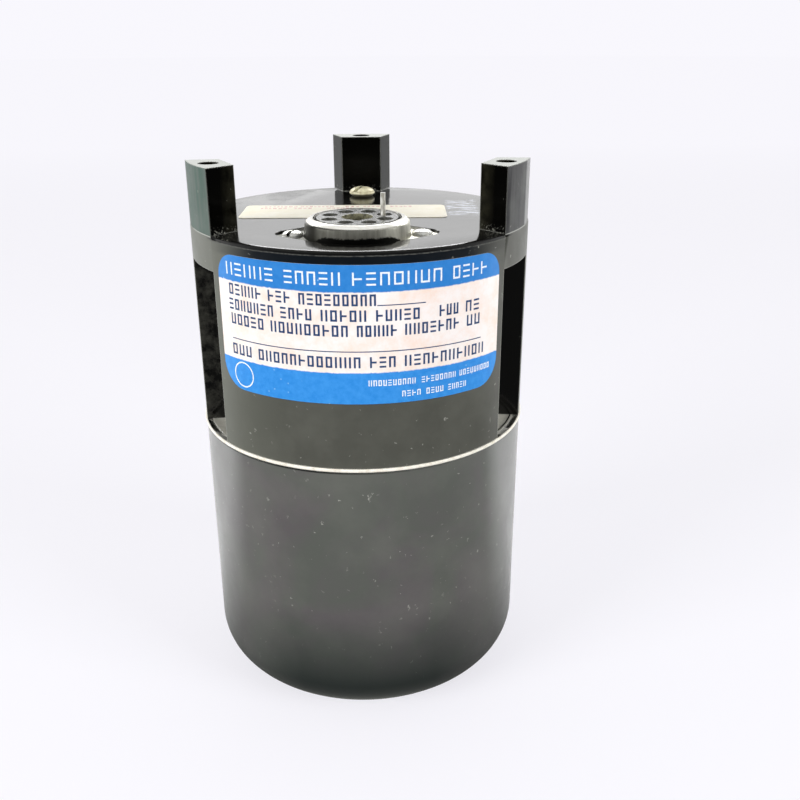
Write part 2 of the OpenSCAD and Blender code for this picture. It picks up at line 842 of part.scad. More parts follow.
// Hinged plate over the pole, with a narrow tail for the return spring
module relay_armature() {
    color("#a9a89f") at_relay() difference() {
        union() {
            translate([armature_tip, -armature_w / 2, armature_z])
                cube([yoke_l - armature_tip, armature_w, armature_t]);
            translate([yoke_l - cut, -spring_tab_w / 2, armature_z])
                cube([tail_out - yoke_l + cut, spring_tab_w, armature_t]);
        }
        translate([spring_x, 0, armature_z - cut]) cylinder(h = armature_t + 2 * cut, d = spring_hook_d);
    }
}

// Insulating pad, springy arm and the two-faced contact button
module contact_arm() {
    color("#c08a4a") at_relay() {
        translate([armature_tip + 0.5, -arm_w / 2, armature_z + armature_t]) cube([pad_l, arm_w, pad_t]);
        translate([arm_tip, -arm_w / 2, arm_z - eps]) cube([pad_l - arm_tip + armature_tip, arm_w, arm_t]);
        translate([button_x, 0, arm_z - button_t]) cylinder(h = 2 * button_t + arm_t, d = button_d, $fn = 48);
        translate([armature_tip + pad_l / 2, 0, arm_z]) cylinder(h = 1, d = rivet_d, $fn = 32);
    }
}

// Points of a round tube swept along a path, with flat ends
function cross_unit(a, b) = cross(a, b) / norm(cross(a, b));
function path_dir(p, i) =
    let(q = p[min(i + 1, len(p) - 1)] - p[max(i - 1, 0)]) q / norm(q);

module swept_tube(path, r, sides, ref) {
    n = len(path);
    points = [
        for (i = [0 : n - 1]) let(t = path_dir(path, i), u = cross_unit(ref, t), v = cross(t, u))
            for (k = [0 : sides - 1])
                path[i] + r * (cos(360 * k / sides) * u + sin(360 * k / sides) * v)
    ];
    sides_faces = [
        for (i = [0 : n - 2], k = [0 : sides - 1])
            let(a = i * sides + k, b = i * sides + (k + 1) % sides)
                each [[a, a + sides, b + sides], [a, b + sides, b]]
    ];
    first = [for (k = [0 : sides - 1]) k];
    last = [for (k = [sides - 1 : -1 : 0]) (n - 1) * sides + k];
    polyhedron(points = points, faces = concat(sides_faces, [first, last]), convexity = 6);
}

module return_spring() {
    steps = 12;
    foot = spring_foot_z + yoke_t / 2 + spring_wire_r + touch_gap;
    head = armature_z - spring_wire_r - rim_gap;
    count = spring_turns * steps;
    path = [for (i = [0 : count])
        let(a = 360 * i / steps)
            [spring_x + spring_r * cos(a), spring_r * sin(a), foot + (head - foot) * i / count]];
    color("#c2c2bc") at_relay() swept_tube(path, spring_wire_r, 6, [0, 0, 1]);
}

block_l = 7;
block_w = 16;
block_h = 12;
block_slot = 6;
block_x = -12.5;
contact_t = 0.6;
contact_w = 4;
terminal_x = block_x + 1.2;
swing_drop = (hinge_x - button_x) * sin(armature_swing);
open_top = arm_z - button_t - swing_drop - rim_gap;
closed_foot = arm_z + arm_t + button_t + rim_gap;
contact_y = 5.4;

module contact_block() {
    color("#5a3a26") at_relay() difference() {
        translate([block_x, -block_w / 2, 0]) cube([block_l, block_w, block_h]);
        for (s = [-1, 1]) {
            translate([terminal_x - touch_gap, s * contact_y, block_h - block_slot])
                translate([0, -contact_w / 2 - touch_gap, 0])
                    cube([contact_t + 2 * touch_gap, contact_w + 2 * touch_gap, block_slot + cut]);
        }
        for (s = [-1, 1]) {
            translate([block_x + block_l - 2.4, s * contact_y, -cut]) cylinder(h = 9, d = 1.8, $fn = 32);
        }
    }
}

// A fixed contact: an upright strip in the block, a finger across to the button
module fixed_contact(side, finger_z, button_z) {
    translate([terminal_x, side * contact_y - contact_w / 2, block_h - block_slot])
        cube([contact_t, contact_w, finger_z + contact_t - block_h + block_slot]);
    translate([terminal_x, min(side * contact_y, 0), finger_z])
        cube([contact_t + 2, contact_y, contact_t]);
    translate([terminal_x, -contact_w / 2, finger_z])
        cube([button_x - terminal_x + contact_w / 2, contact_w, contact_t]);
    translate([button_x, 0, button_z]) cylinder(h = button_t, d = button_d, $fn = 48);
}

module open_contact() {
    color("#c9ab6a") at_relay() fixed_contact(-1, open_top - button_t - contact_t, open_top - button_t);
}

module closed_contact() {
    color("#c9ab6a") at_relay() fixed_contact(1, closed_foot + button_t, closed_foot);
}

relay_turn = 25;

module relay_screws() {
    shaft_d = relay_bore - 2 * touch_gap;
    color("#c9c9c4") for (s = [-1, 1]) {
        translate([relay_x + relay_screw_at.x, s * relay_screw_at.y, seat_z])
            pan_screw(small_head_d, small_head_h, shaft_d, chassis_t + yoke_t, relay_turn);
    }
}

board_top_z = chassis_z - standoff_h;
board_z = board_top_z - board_t;
lead_d = 0.8;
lead_play = 0.15;
lead_out = 1.6;
part_rise = 0.4;

module board_standoffs() {
    color("#b5a36a") at_standoffs() translate([0, 0, board_top_z]) difference() {
        cylinder(h = standoff_h, d = standoff_af / cos(30), $fn = 6);
        translate([0, 0, -cut]) cylinder(h = thread_l + cut, d = standoff_screw_d + thread_gap, $fn = 32);
        translate([0, 0, standoff_h - thread_l])
            cylinder(h = thread_l + cut, d = standoff_screw_d + thread_gap, $fn = 32);
    }
}

board_turn = 70;

// Three screws under the board and three through the chassis plate
module board_screws() {
    color("#c9c9c4") at_standoffs() {
        translate([0, 0, board_z]) rotate([180, 0, 0])
            pan_screw(small_head_d, small_head_h, standoff_screw_d, board_t + thread_l - 1, board_turn);
        translate([0, 0, seat_z])
            pan_screw(small_head_d, small_head_h, standoff_screw_d, chassis_t + thread_l - 1, board_turn);
    }
}

cap_at = [-22, 19];
cap_lead_pitch = 7.5;
film_at = [[-25, -14], [-14, -19]];
film_size = [5, 14, 10];
film_pitch = 10;
resistor_at = [[2, -12], [2, -6], [2, 0], [2, 6], [2, 12], [-14, -3]];
resistor_pitch = resistor_l + 4;
diode_at = [[20, -24], [20, -19], [-4, 28], [-4, 33]];
diode_l = 5;
diode_d = 2.6;
diode_pitch = 10;
transistor_at = [[24, -8], [24, 8], [14, 25]];
transistor_d = 8.4;
transistor_h = 6;
transistor_pitch = 2.54;
trimmer_at = [33, -18];
trimmer_w = 9.5;
trimmer_h = 5;

// Places of a part's two leads, pitch apart along x, or along y if across
function lead_pair(at, pitch, across) =
    [for (s = [-0.5, 0.5]) at + s * pitch * (across ? [0, 1] : [1, 0])];
function flat(lists) = [for (l = lists) for (p = l) p];

resistor_leads = flat([for (p = resistor_at) lead_pair(p, resistor_pitch, false)]);
diode_leads = flat([for (p = diode_at) lead_pair(p, diode_pitch, false)]);
film_leads = flat([for (p = film_at) lead_pair(p, film_pitch, true)]);
cap_leads = lead_pair(cap_at, cap_lead_pitch, false);
transistor_leads = flat([for (p = transistor_at)
    [for (k = [0 : 2]) p + transistor_pitch * [cos(120 * k), sin(120 * k)]]]);
trimmer_leads = lead_pair(trimmer_at, trimmer_w - 4, true);
all_leads = concat(resistor_leads, diode_leads, film_leads, cap_leads,
    transistor_leads, trimmer_leads);

module circuit_board() {
    color("#8a6a35") translate([0, 0, board_z]) difference() {
        cylinder(h = board_t, d = board_d);
        at_standoffs() translate([0, 0, -cut])
            cylinder(h = board_t + 2 * cut, d = standoff_screw_d + 2 * screw_play);
        for (p = all_leads) {
            translate([p.x, p.y, -cut]) cylinder(h = board_t + 2 * cut, d = lead_d + 2 * lead_play, $fn = 16);
        }
    }
}

module leads(list, top) {
    for (p = list) {
        translate([p.x, p.y, board_z - lead_out])
            cylinder(h = top - board_z + lead_out, d = lead_d, $fn = 16);
    }
}

module smoothing_capacitor() {
    foot = board_top_z + part_rise;
    color("#3f5f8f") {
        translate([cap_at.x, cap_at.y, foot]) rotate_extrude() {
            square([cap_d / 2, cap_h - 1]);
            square([cap_d / 2 - 1, cap_h]);
            translate([cap_d / 2 - 1, cap_h - 1]) circle(r = 1, $fn = 32);
        }
        leads(cap_leads, foot + eps);
    }
}

module film_capacitors() {
    foot = board_top_z + part_rise;
    color("#b5651d") {
        for (p = film_at) {
            translate([p.x, p.y, foot]) rounded_plate(film_size.x, film_size.y, film_size.z, 1);
        }
        leads(film_leads, foot + eps);
    }
}

// An axial part: a body lying on the board with both leads bent down
module axial_part(at, length, d, pitch) {
    mid_z = board_top_z + part_rise + d / 2;
    translate([at.x, at.y, mid_z]) rotate([0, 90, 0]) {
        translate([0, 0, -length / 2]) cylinder(h = length, d = d, $fn = 48);
        translate([0, 0, -pitch / 2]) cylinder(h = pitch, d = lead_d, $fn = 16);
    }
    for (s = [-1, 1]) {
        translate([at.x + s * pitch / 2, at.y, mid_z]) sphere(d = lead_d, $fn = 16);
        translate([at.x + s * pitch / 2, at.y, board_z - lead_out])
            cylinder(h = mid_z - board_z + lead_out, d = lead_d, $fn = 16);
    }
}

module resistors() {
    color("#b98f5e") for (p = resistor_at) {
        axial_part(p, resistor_l, resistor_d, resistor_pitch);
    }
}

module diodes() {
    color("#2a2a2a") for (p = diode_at) {
        axial_part(p, diode_l, diode_d, diode_pitch);
    }
}

module transistors() {
    foot = board_top_z + part_rise + 1.6;
    color("#a8a8a2") {
        for (p = transistor_at) {
            translate([p.x, p.y, foot]) {
                cylinder(h = 0.8, d = transistor_d + 1);
                cylinder(h = transistor_h, d = transistor_d);
            }
        }
        leads(transistor_leads, foot + eps);
    }
}

module trimmer() {
    color("#274b8c") difference() {
        union() {
            translate([trimmer_at.x, trimmer_at.y, board_top_z])
                rounded_plate(trimmer_w, trimmer_w, trimmer_h, 0.6);
            leads(trimmer_leads, board_top_z + eps);
        }
        translate([trimmer_at.x, trimmer_at.y, board_top_z + trimmer_h - 2])
            cylinder(h = 2 + cut, d = 6 + 2 * touch_gap);
    }
}

module trimmer_screw() {
    color("#d6d2c4") translate([trimmer_at.x, trimmer_at.y, board_top_z + trimmer_h - 2]) difference() {
        cylinder(h = 2.6, d = 6);
        translate([-4, -0.5, 1.8]) cube([8, 1, 2]);
    }
}

// A smooth curve through hand-placed points
function spline_point(p, i, t) =
    let(a = p[max(i - 1, 0)], b = p[i], c = p[i + 1], d = p[min(i + 2, len(p) - 1)])
        0.5 * (2 * b + (c - a) * t + (2 * a - 5 * b + 4 * c - d) * t * t
            + (3 * b - a - 3 * c + d) * t * t * t);
function spline(p, steps) = concat(
    [for (i = [0 : len(p) - 2], k = [0 : steps - 1]) spline_point(p, i, k / steps)],
    [p[len(p) - 1]]
);

wire_seat = 0.1;
wire_top_z = insulator_foot_z - tail_l - wire_seat;
wire_bundle_r = 3.6;
wire_spread_z = seat_z + 24;
wire_end_z = chassis_z - 8;
wire_fan = [10.5, 3];
wire_back = 8;

// Each wire drops from its contact, gathers in the bundle and passes the plate
module socket_wires() {
    for (i = [0 : contact_count - 1]) {
        a = contact_step * (i + 0.5);
        out = [cos(a), sin(a), 0];
        from = [socket_x, socket_y, 0] + out * pin_circle_d / 2;
        in = [wire_hole_at.x, wire_hole_at.y, 0] + out * wire_bundle_r;
        up = [0, 0, 1];
        path = spline([
            from + up * wire_top_z,
            from + up * (wire_top_z - 8),
            in + up * wire_spread_z,
            in + up * (seat_z + 6),
            in + up * wire_end_z
        ], 3);
        color("#c8c2b0") swept_tube(path, wire_d / 2, 8, [0, 1, 0]);
    }
}

// The wires go on from the bundle to the board's edge
module board_wires() {
    for (i = [0 : contact_count - 1]) {
        a = contact_step * (i + 0.5);
        from = [wire_hole_at.x, wire_hole_at.y, 0] + [cos(a), sin(a), 0] * wire_bundle_r;
        to = [wire_hole_at.x + wire_fan.x * cos(a), wire_hole_at.y - wire_back + wire_fan.y * sin(a), 0];
        up = [0, 0, 1];
        path = spline([
            from + up * (wire_end_z - wire_seat),
            from + up * (wire_end_z - 14),
            to + up * (board_top_z + 16),
            to + up * (board_top_z + 0.2)
        ], 4);
        color("#b8a888") swept_tube(path, wire_d / 2, 8, [0, 1, 0]);
    }
}

upper_case();
cover_can();
rim_gasket();
name_label();
top_label();
socket_saddle();
socket_insulator();
socket_contacts();
standing_pin();
socket_screws();
socket_nuts();
chassis_screw();
chassis_pillar();
pillar_screw();
chassis_plate();
plate_screws();
wire_grommet();
transformer_core();
transformer_bobbin();
primary_winding();
secondary_winding();
transformer_strap();
strap_screws();
relay_yoke();
relay_pole();
relay_bobbin();
relay_winding();
relay_armature();
contact_arm();
return_spring();
contact_block();
open_contact();
closed_contact();
relay_screws();
circuit_board();
board_standoffs();
board_screws();
smoothing_capacitor();
film_capacitors();
resistors();
diodes();
transistors();
trimmer();
trimmer_screw();
socket_wires();
board_wires();
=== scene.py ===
import json
import math
import random

import bmesh
import bpy
from mathutils import Matrix, Vector

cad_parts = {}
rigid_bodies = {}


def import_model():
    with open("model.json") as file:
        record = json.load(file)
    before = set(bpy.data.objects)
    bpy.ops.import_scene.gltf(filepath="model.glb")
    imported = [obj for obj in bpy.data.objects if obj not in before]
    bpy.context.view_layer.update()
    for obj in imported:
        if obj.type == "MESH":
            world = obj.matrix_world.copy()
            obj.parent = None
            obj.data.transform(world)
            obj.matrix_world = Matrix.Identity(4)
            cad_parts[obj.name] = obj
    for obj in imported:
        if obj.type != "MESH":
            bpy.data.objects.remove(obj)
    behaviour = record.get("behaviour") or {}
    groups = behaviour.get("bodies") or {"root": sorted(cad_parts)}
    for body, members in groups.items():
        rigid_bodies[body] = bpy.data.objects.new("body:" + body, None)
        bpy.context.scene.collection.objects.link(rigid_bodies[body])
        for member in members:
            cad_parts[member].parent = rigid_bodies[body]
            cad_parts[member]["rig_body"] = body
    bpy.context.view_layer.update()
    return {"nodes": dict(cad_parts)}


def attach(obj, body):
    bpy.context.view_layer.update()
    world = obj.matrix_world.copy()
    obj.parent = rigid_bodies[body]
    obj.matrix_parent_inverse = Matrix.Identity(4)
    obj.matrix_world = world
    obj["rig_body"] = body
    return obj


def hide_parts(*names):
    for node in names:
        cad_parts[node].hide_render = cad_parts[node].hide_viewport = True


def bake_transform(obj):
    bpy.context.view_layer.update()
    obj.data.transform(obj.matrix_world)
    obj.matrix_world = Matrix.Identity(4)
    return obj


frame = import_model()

# Cover can: a deep-drawn steel cup with a large bottom corner, enamelled satin
# black. It stands on its flat bottom, and the case's spigot pushes into its rim.
mm = 0.001


def turned(bm, outline, steps=128, closed=True, at=(0, 0, 0), lay=None):
    """Spins a half section round Z; a corner is (radius, height, rounding) in mm."""
    known = set(bm.verts)
    points = [bm.verts.new((radius * mm, 0, height * mm)) for radius, height, _ in outline]
    ends = points[1:] + points[:1] if closed else points[1:]
    for pair in zip(points, ends):
        bm.edges.new(pair)
    for point, (_, _, rounding) in zip(points, outline):
        if rounding:
            bmesh.ops.bevel(
                bm, geom=[point], offset=rounding * mm, offset_type="OFFSET", profile=0.5,
                segments=4 if rounding < 3 else 16, affect="VERTICES", material=-1,
            )
    section = [v for v in bm.verts if v not in known]
    edges = [e for e in bm.edges if e.verts[0] not in known]
    bmesh.ops.spin(
        bm, geom=section + edges, cent=(0, 0, 0), axis=(0, 0, 1), dvec=(0, 0, 0), angle=2 * math.pi,
        steps=steps, use_merge=True, use_duplicate=False,
    )
    bmesh.ops.remove_doubles(bm, verts=[v for v in bm.verts if v not in known], dist=1e-7)
    made = [v for v in bm.verts if v not in known]
    if lay:
        bmesh.ops.transform(bm, matrix=lay, verts=made)
    bmesh.ops.translate(bm, vec=Vector(at) * mm, verts=made)
    return made


def piece(name, bm, body, slot, *materials, stands_for=(), edge=0.0, sharp=35):
    """Closes a bmesh into a piece with outward faces that rides on its body."""
    bmesh.ops.recalc_face_normals(bm, faces=bm.faces)
    mesh = bpy.data.meshes.new(name)
    bm.to_mesh(mesh)
    bm.free()
    return shown(name, mesh, body, materials, stands_for, edge, sharp)


def shown(name, mesh, body, materials, stands_for, edge, sharp):
    """Puts a mesh in the scene with its finishes and its body."""
    mesh.shade_smooth()
    mesh.set_sharp_from_angle(angle=math.radians(sharp))
    for material in materials:
        mesh.materials.append(material)
    made = bpy.data.objects.new(name, mesh)
    bpy.context.scene.collection.objects.link(made)
    if edge:
        worn = made.modifiers.new("worn edges", "BEVEL")
        worn.width = edge * mm
        worn.segments = 2
        worn.limit_method = "ANGLE"
        worn.angle_limit = math.radians(40)
        worn.use_clamp_overlap = False
        worn.harden_normals = True
    if body:
        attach(made, body)
    if stands_for:
        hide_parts(*stands_for)
    return made


def blank(name, colour, roughness, metallic=0.0, specular=0.5):
    """A named finish with its plain values set on the shader's own sockets."""
    material = bpy.data.materials.new(name)
    material.use_nodes = True
    shader = material.node_tree.nodes["Principled BSDF"]
    shader.inputs["Base Color"].default_value = (*colour, 1)
    shader.inputs["Roughness"].default_value = roughness
    shader.inputs["Metallic"].default_value = metallic
    shader.inputs["Specular IOR Level"].default_value = specular
    return material


def add(tree, kind, feeds=None, **settings):
    """Adds one shader node; each feed is a socket to link or a value to set."""
    made = tree.nodes.new("ShaderNode" + kind)
    for key, value in settings.items():
        setattr(made, key, value)
    for key, value in (feeds or {}).items():
        if isinstance(value, bpy.types.NodeSocket):
            tree.links.new(value, made.inputs[key])
        else:
            made.inputs[key].default_value = value
    return made


def into(socket, value):
    """Links a value to the shader of the finish that it was made in."""
    tree = value.id_data
    tree.links.new(value, tree.nodes["Principled BSDF"].inputs[socket])


def place_of(material, scale=(1, 1, 1), turn=0.0, centre=(0, 0, 0)):
    """Object coordinates in mm, centred, turned round Z and stretched by a Mapping node."""
    where = add(material.node_tree, "TexCoord").outputs["Object"]
    moved = Matrix.Rotation(turn, 3, "Z") @ Vector([c * s for c, s in zip(centre, scale)])
    feeds = {"Vector": where, "Location": -moved, "Rotation": (0, 0, turn), "Scale": [s / mm for s in scale]}
    return add(material.node_tree, "Mapping", feeds, vector_type="POINT").outputs["Vector"]


def stretched(where, scale):
    """The same places with each axis scaled, so that a pattern runs long along one of them."""
    feeds = {"Vector": where, "Scale": scale}
    return add(where.id_data, "Mapping", feeds, vector_type="POINT").outputs["Vector"]


def axes(where):
    """A place split into its distances along X, Y and Z."""
    return add(where.id_data, "SeparateXYZ", {0: where}).outputs


def from_middle(where):
    """How far a place is from the Z axis."""
    flat = add(where.id_data, "VectorMath", {0: where, 1: (1, 1, 0)}, operation="MULTIPLY").outputs[0]
    return add(where.id_data, "VectorMath", {0: flat}, operation="LENGTH").outputs["Value"]


def noise(where, scale, detail=4.0, rough=0.55, twist=0.0):
    """Soft cloudy noise; twist bends its shapes."""
    feeds = {"Vector": where, "Scale": scale, "Detail": detail, "Roughness": rough, "Distortion": twist}
    return add(where.id_data, "TexNoise", feeds).outputs["Fac"]


def fade(value, low, high, start=0.0, end=1.0):
    """Turns the stretch from low to high into start to end, and holds it outside."""
    feeds = {"Value": value, "From Min": low, "From Max": high, "To Min": start, "To Max": end}
    return add(value.id_data, "MapRange", feeds, clamp=True).outputs["Result"]


def sums(kind, a, b=0.0, held=False):
    """A sum of two numbers; held keeps it between 0 and 1."""
    return add(a.id_data, "Math", {0: a, 1: b}, operation=kind, use_clamp=held).outputs[0]


def either_side(value):
    """The same number on both sides of the middle."""
    return sums("ABSOLUTE", value)


def both(share, *others):
    """The share that all the masks have in common, or a mask made weaker."""
    for other in others:
        share = sums("MULTIPLY", share, other, held=True)
    return share


def most(share, *others):
    """The strongest of several masks."""
    for other in others:
        share = sums("MAXIMUM", share, other)
    return share


def blend(share, a, b):
    """The colour a, turning to b where share is 1."""
    a, b = (c if isinstance(c, bpy.types.NodeSocket) else (*c, 1) for c in (a, b))
    return add(share.id_data, "Mix", {0: share, 6: a, 7: b}, data_type="RGBA", clamp_factor=True).outputs[2]


def mottled(where, scale, low, high, a, b, detail=6, rough=0.7):
    """The colour a with cloudy patches of b."""
    return blend(fade(noise(where, scale, detail, rough), low, high), a, b)


def grain(height, depth):
    """Raises the surface by height times depth, in mm."""
    into("Normal", add(height.id_data, "Bump", {"Height": height, "Distance": depth * mm}).outputs["Normal"])


def gloss(where, scale, detail, low, high):
    """Uneven roughness, from low to high."""
    into("Roughness", fade(noise(where, scale, detail), 0.3, 0.7, low, high))


def specks(where, scale, size, share):
    """Separate small round marks: one in a share of the cells of a loose grid."""
    cell = add(where.id_data, "TexVoronoi", {"Vector": where, "Scale": scale, "Randomness": 1.0})
    dot = fade(cell.outputs["Distance"], size * 0.6, size, 1.0, 0.0)
    pick = add(where.id_data, "SeparateColor", {0: cell.outputs["Color"]}).outputs[0]
    return both(dot, fade(pick, share, share + 0.02, 1.0, 0.0))


def dusty(where, base, dust, patch_scale, marks):
    """Storage dust: soft patches, ragged grit in drifts, and scuffs that follow the wall."""
    cloud = blend(both(fade(noise(where, patch_scale, 5, 0.6), 0.42, 0.75), 0.45), base, dust)
    ragged = add(where.id_data, "TexNoise", {"Vector": where, "Scale": 1.1, "Detail": 3.0}).outputs["Color"]
    feeds = {0: ragged, 1: (2.6, 2.6, 2.6), 2: where}
    strewn = add(where.id_data, "VectorMath", feeds, operation="MULTIPLY_ADD").outputs[0]
    drifts = fade(noise(where, 0.055, 3, 0.6), 0.46, 0.60, 0.30, 1.0)
    grit = specks(strewn, 0.60, 0.20, 0.13 * marks)
    flecks = specks(strewn, 0.24, 0.14, 0.11 * marks)
    scuffs = specks(stretched(strewn, (1.0, 1.0, 0.22)), 0.42, 0.15, 0.06 * marks)
    return blend(both(most(grit, flecks, scuffs), drifts, 0.85), cloud, (0.42, 0.42, 0.38))


def powdered(material, weight):
    """Fine dust that lightens the wall where it is seen at a slant."""
    shader = material.node_tree.nodes["Principled BSDF"]
    shader.inputs["Sheen Weight"].default_value = weight
    shader.inputs["Sheen Roughness"].default_value = 0.4
    shader.inputs["Sheen Tint"].default_value = (0.90, 0.92, 0.84, 1)


can_r, can_wall, can_rim_z, bottom_corner, rim_corner = 54, 1.5, 91.9, 15.4, 0.35
can_enamel = blank("can_enamel", (0.08, 0.085, 0.075), 0.42)
where = place_of(can_enamel)
tint = fade(noise(where, 0.035, 5, 0.65, 1.0), 0.38, 0.62)
enamel = blend(tint, (0.096, 0.103, 0.091), (0.106, 0.097, 0.100))
can_dust_and_painted_light = dusty(where, enamel, (0.165, 0.168, 0.150), 0.045, 1.0)
spot = axes(where)
aside = either_side(spot[0])
# Painted light: the can's left and right sides are painted lighter, as if lit from the sides.
can_dust_and_painted_light = blend(fade(aside, 28.0, 50.0, 0.0, 0.35), can_dust_and_painted_light, (0.210, 0.220, 0.200))
# Painted shade: the can darkens towards its bottom corner, most at the front.
shaded = both(fade(spot[2], 42.0, 13.0), fade(aside, 22.0, 42.0, 1.0, 0.45))
# Painted shadow: a dark line just under the rim, below the gasket's lip, darkest on the left.
painted_rim_shadow = both(fade(spot[2], can_rim_z - 0.55, can_rim_z - 0.4), fade(spot[0], 15.0, -15.0, 0.2, 0.9))
can_dust_and_painted_light = blend(shaded, can_dust_and_painted_light, (0.012, 0.017, 0.015))
into("Base Color", blend(painted_rim_shadow, can_dust_and_painted_light, (0.006, 0.006, 0.005)))
powdered(can_enamel, 0.15)
can_gloss = can_enamel.node_tree.nodes["Principled BSDF"]
can_gloss.inputs["Coat Weight"].default_value = 1.0
can_gloss.inputs["Coat Roughness"].default_value = 0.12
can_gloss.inputs["Coat IOR"].default_value = 1.9
into("Roughness", fade(noise(where, 0.12, 6, 0.65), 0.3, 0.7, 0.38, 0.52))
grain(noise(where, 1.6, 3), 0.012)
bm = bmesh.new()
inner_r = can_r - can_wall
outline = [
    (0, 0, 0), (can_r, 0, bottom_corner), (can_r, can_rim_z, rim_corner), (inner_r, can_rim_z, rim_corner),
    (inner_r, can_wall, bottom_corner - can_wall), (0, can_wall, 0),
]
turned(bm, outline, steps=160, closed=False)
piece("cover_can_shell", bm, "can", "can_finish", can_enamel, stands_for=("cover_can",))

# Rim gasket: a cream fibre ring laid between the can's rim and the case's
# shoulder. It stands slightly proud of both walls, and its cut edge is worn.
fibre = blank("gasket_fibre", (0.86, 0.82, 0.72), 0.75)
where = place_of(fibre)
into("Base Color", mottled(where, 0.35, 0.45, 0.7, (0.90, 0.87, 0.79), (0.70, 0.64, 0.52)))
grain(noise(where, 3.0, 3), 0.03)
bm = bmesh.new()
gasket_r, gasket_foot, gasket_head, cut_edge = 54.48, 92.2, 93.2, 0.3
outline = [
    (inner_r, gasket_foot, 0), (gasket_r, gasket_foot, cut_edge), (gasket_r, gasket_head, cut_edge),
    (inner_r, gasket_head, 0),
]
turned(bm, outline, steps=160)
piece("rim_gasket_ring", bm, "unit", "gasket_cream", fibre, stands_for=("rim_gasket",))

# Upper case: one black phenolic moulding with three posts over open nut
# pockets, a thick flange, and the spigot that enters the can. The top is glossy
# and the round wall is dull with handling.


def dressed(node, slot, edge, *materials, sharp=35):
    """A merged copy of a CAD node, with its edges eased, that stands for it."""
    bm = bmesh.new()
    bm.from_mesh(frame["nodes"][node].data)
    bmesh.ops.remove_doubles(bm, verts=bm.verts, dist=1e-6)
    bmesh.ops.dissolve_limit(bm, angle_limit=math.radians(0.5), verts=bm.verts, edges=bm.edges)
    corner = math.radians(sharp)
    left = set(bm.faces) if edge else set()
    while left:
        side, rim, found = [], False, [left.pop()]
        while found:
            face = found.pop()
            side.append(face)
            for line in face.edges:
                if line.calc_face_angle(0) >= corner:
                    rim = True
                    continue
                beyond = [other for other in line.link_faces if other in left]
                left.difference_update(beyond)
                found.extend(beyond)
        if rim:
            bmesh.ops.inset_region(bm, faces=side, thickness=edge * 1.5 * mm, use_boundary=True)
    mesh = bpy.data.meshes.new(node + "_eased")
    bm.to_mesh(mesh)
    bm.free()
    body = frame["nodes"][node]["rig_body"]
    return shown(node + "_eased", mesh, body, materials, (node,), edge, sharp)


def moulded(name, specular, rough, pits):
    """Black phenolic whose corners are eased where the mould's edges meet."""
    stock = blank(name, (0.005, 0.005, 0.0045), rough[0], specular=specular)
    where = place_of(stock)
    into("Roughness", fade(noise(where, 0.10, 6, 0.7), 0.35, 0.75, *rough))
    tree = stock.node_tree
    eased = add(tree, "Bevel", {"Radius": 0.55 * mm}, samples=6).outputs["Normal"]
    flat = add(tree, "NewGeometry").outputs["Normal"]
    facing = add(tree, "VectorMath", {0: eased, 1: flat}, operation="DOT_PRODUCT").outputs["Value"]
    pitted = add(tree, "Bump", {"Height": noise(where, 1.1, 4, 0.6), "Distance": pits * mm, "Normal": eased})
    into("Normal", pitted.outputs["Normal"])
    # The mask marks the eased corners, which the finishes paint pale: partly wear, partly a painted
    # highlight.
    return stock, where, fade(facing, 0.985, 0.90)


plate_z, post_z = 158.5, 177.8
polished, where, edge_wear_and_highlight = moulded("polished_phenolic", 0.45, (0.09, 0.20), 0.005)
clean = blend(specks(where, 0.8, 0.10, 0.06), (0.004, 0.004, 0.0035), (0.20, 0.20, 0.17))
spot = axes(where)
stamp_where = place_of(polished, centre=(34.0, 9.8, plate_z), turn=0.05)
across, along = (either_side(side) for side in axes(stamp_where)[:2])
stamp_area = both(fade(across, 5.6, 4.4), fade(along, 15.0, 12.0))
streaks = stretched(stamp_where, (0.14, 0.42, 1.0))
stamp = both(
    stamp_area, fade(noise(streaks, 1.0, 4), 0.44, 0.60), fade(spot[2], plate_z - 0.2, plate_z - 0.05),
)
clean = blend(stamp, clean, (0.62, 0.66, 0.78))
# Painted light: the post tops are painted pale grey-green, lighter than the plate.
post_tops_painted_light = fade(spot[2], post_z - 0.3, post_z - 0.1)
feet = both(
    fade(either_side(spot[0]), 35.0, 38.0), fade(spot[1], -21.0, -24.0),
    fade(spot[2], plate_z - 0.3, plate_z - 0.1),
)
clean = blend(both(fade(noise(where, 1.5, 2, 0.6), 0.56, 0.64), feet), clean, (0.13, 0.13, 0.11))
in_pocket = both(fade(spot[2], 152.5, 151.5), fade(spot[0], -20.0, -30.0))
clean = blend(both(in_pocket, fade(noise(where, 0.28, 5, 0.7), 0.40, 0.68)), clean, (0.055, 0.054, 0.045))
facing_up = axes(add(polished.node_tree, "NewGeometry").outputs["Normal"])[2]
pocket_floor = both(fade(spot[2], 93.6, 93.4), fade(facing_up, 0.8, 0.95))
clean = blend(pocket_floor, clean, blend(noise(where, 0.5, 4), (0.62, 0.61, 0.54), (0.36, 0.35, 0.30)))
# Painted light: the far wall of the saddle's recess, behind the socket, is painted pale.
near_ring = fade(either_side(sums("ADD", spot[0], 0.9)), 22.0, 21.0)
in_recess = both(fade(spot[2], plate_z - 0.1, plate_z - 0.2), fade(spot[2], plate_z - 1.5, plate_z - 1.0))
recess_far_wall_painted_light = both(near_ring, fade(spot[1], -28.0, -27.0), in_recess)
clean = blend(recess_far_wall_painted_light, clean, (0.55, 0.55, 0.52))
clean = blend(post_tops_painted_light, clean, (0.30, 0.33, 0.27))
# Pale edges: wear and a painted highlight.
into("Base Color", blend(both(edge_wear_and_highlight, 0.5), clean, (0.16, 0.16, 0.14)))

handled, where, edge_wear_and_highlight = moulded("handled_phenolic", 0.35, (0.30, 0.44), 0.008)
spot = axes(where)
middle = fade(either_side(spot[0]), 44.0, 30.0)
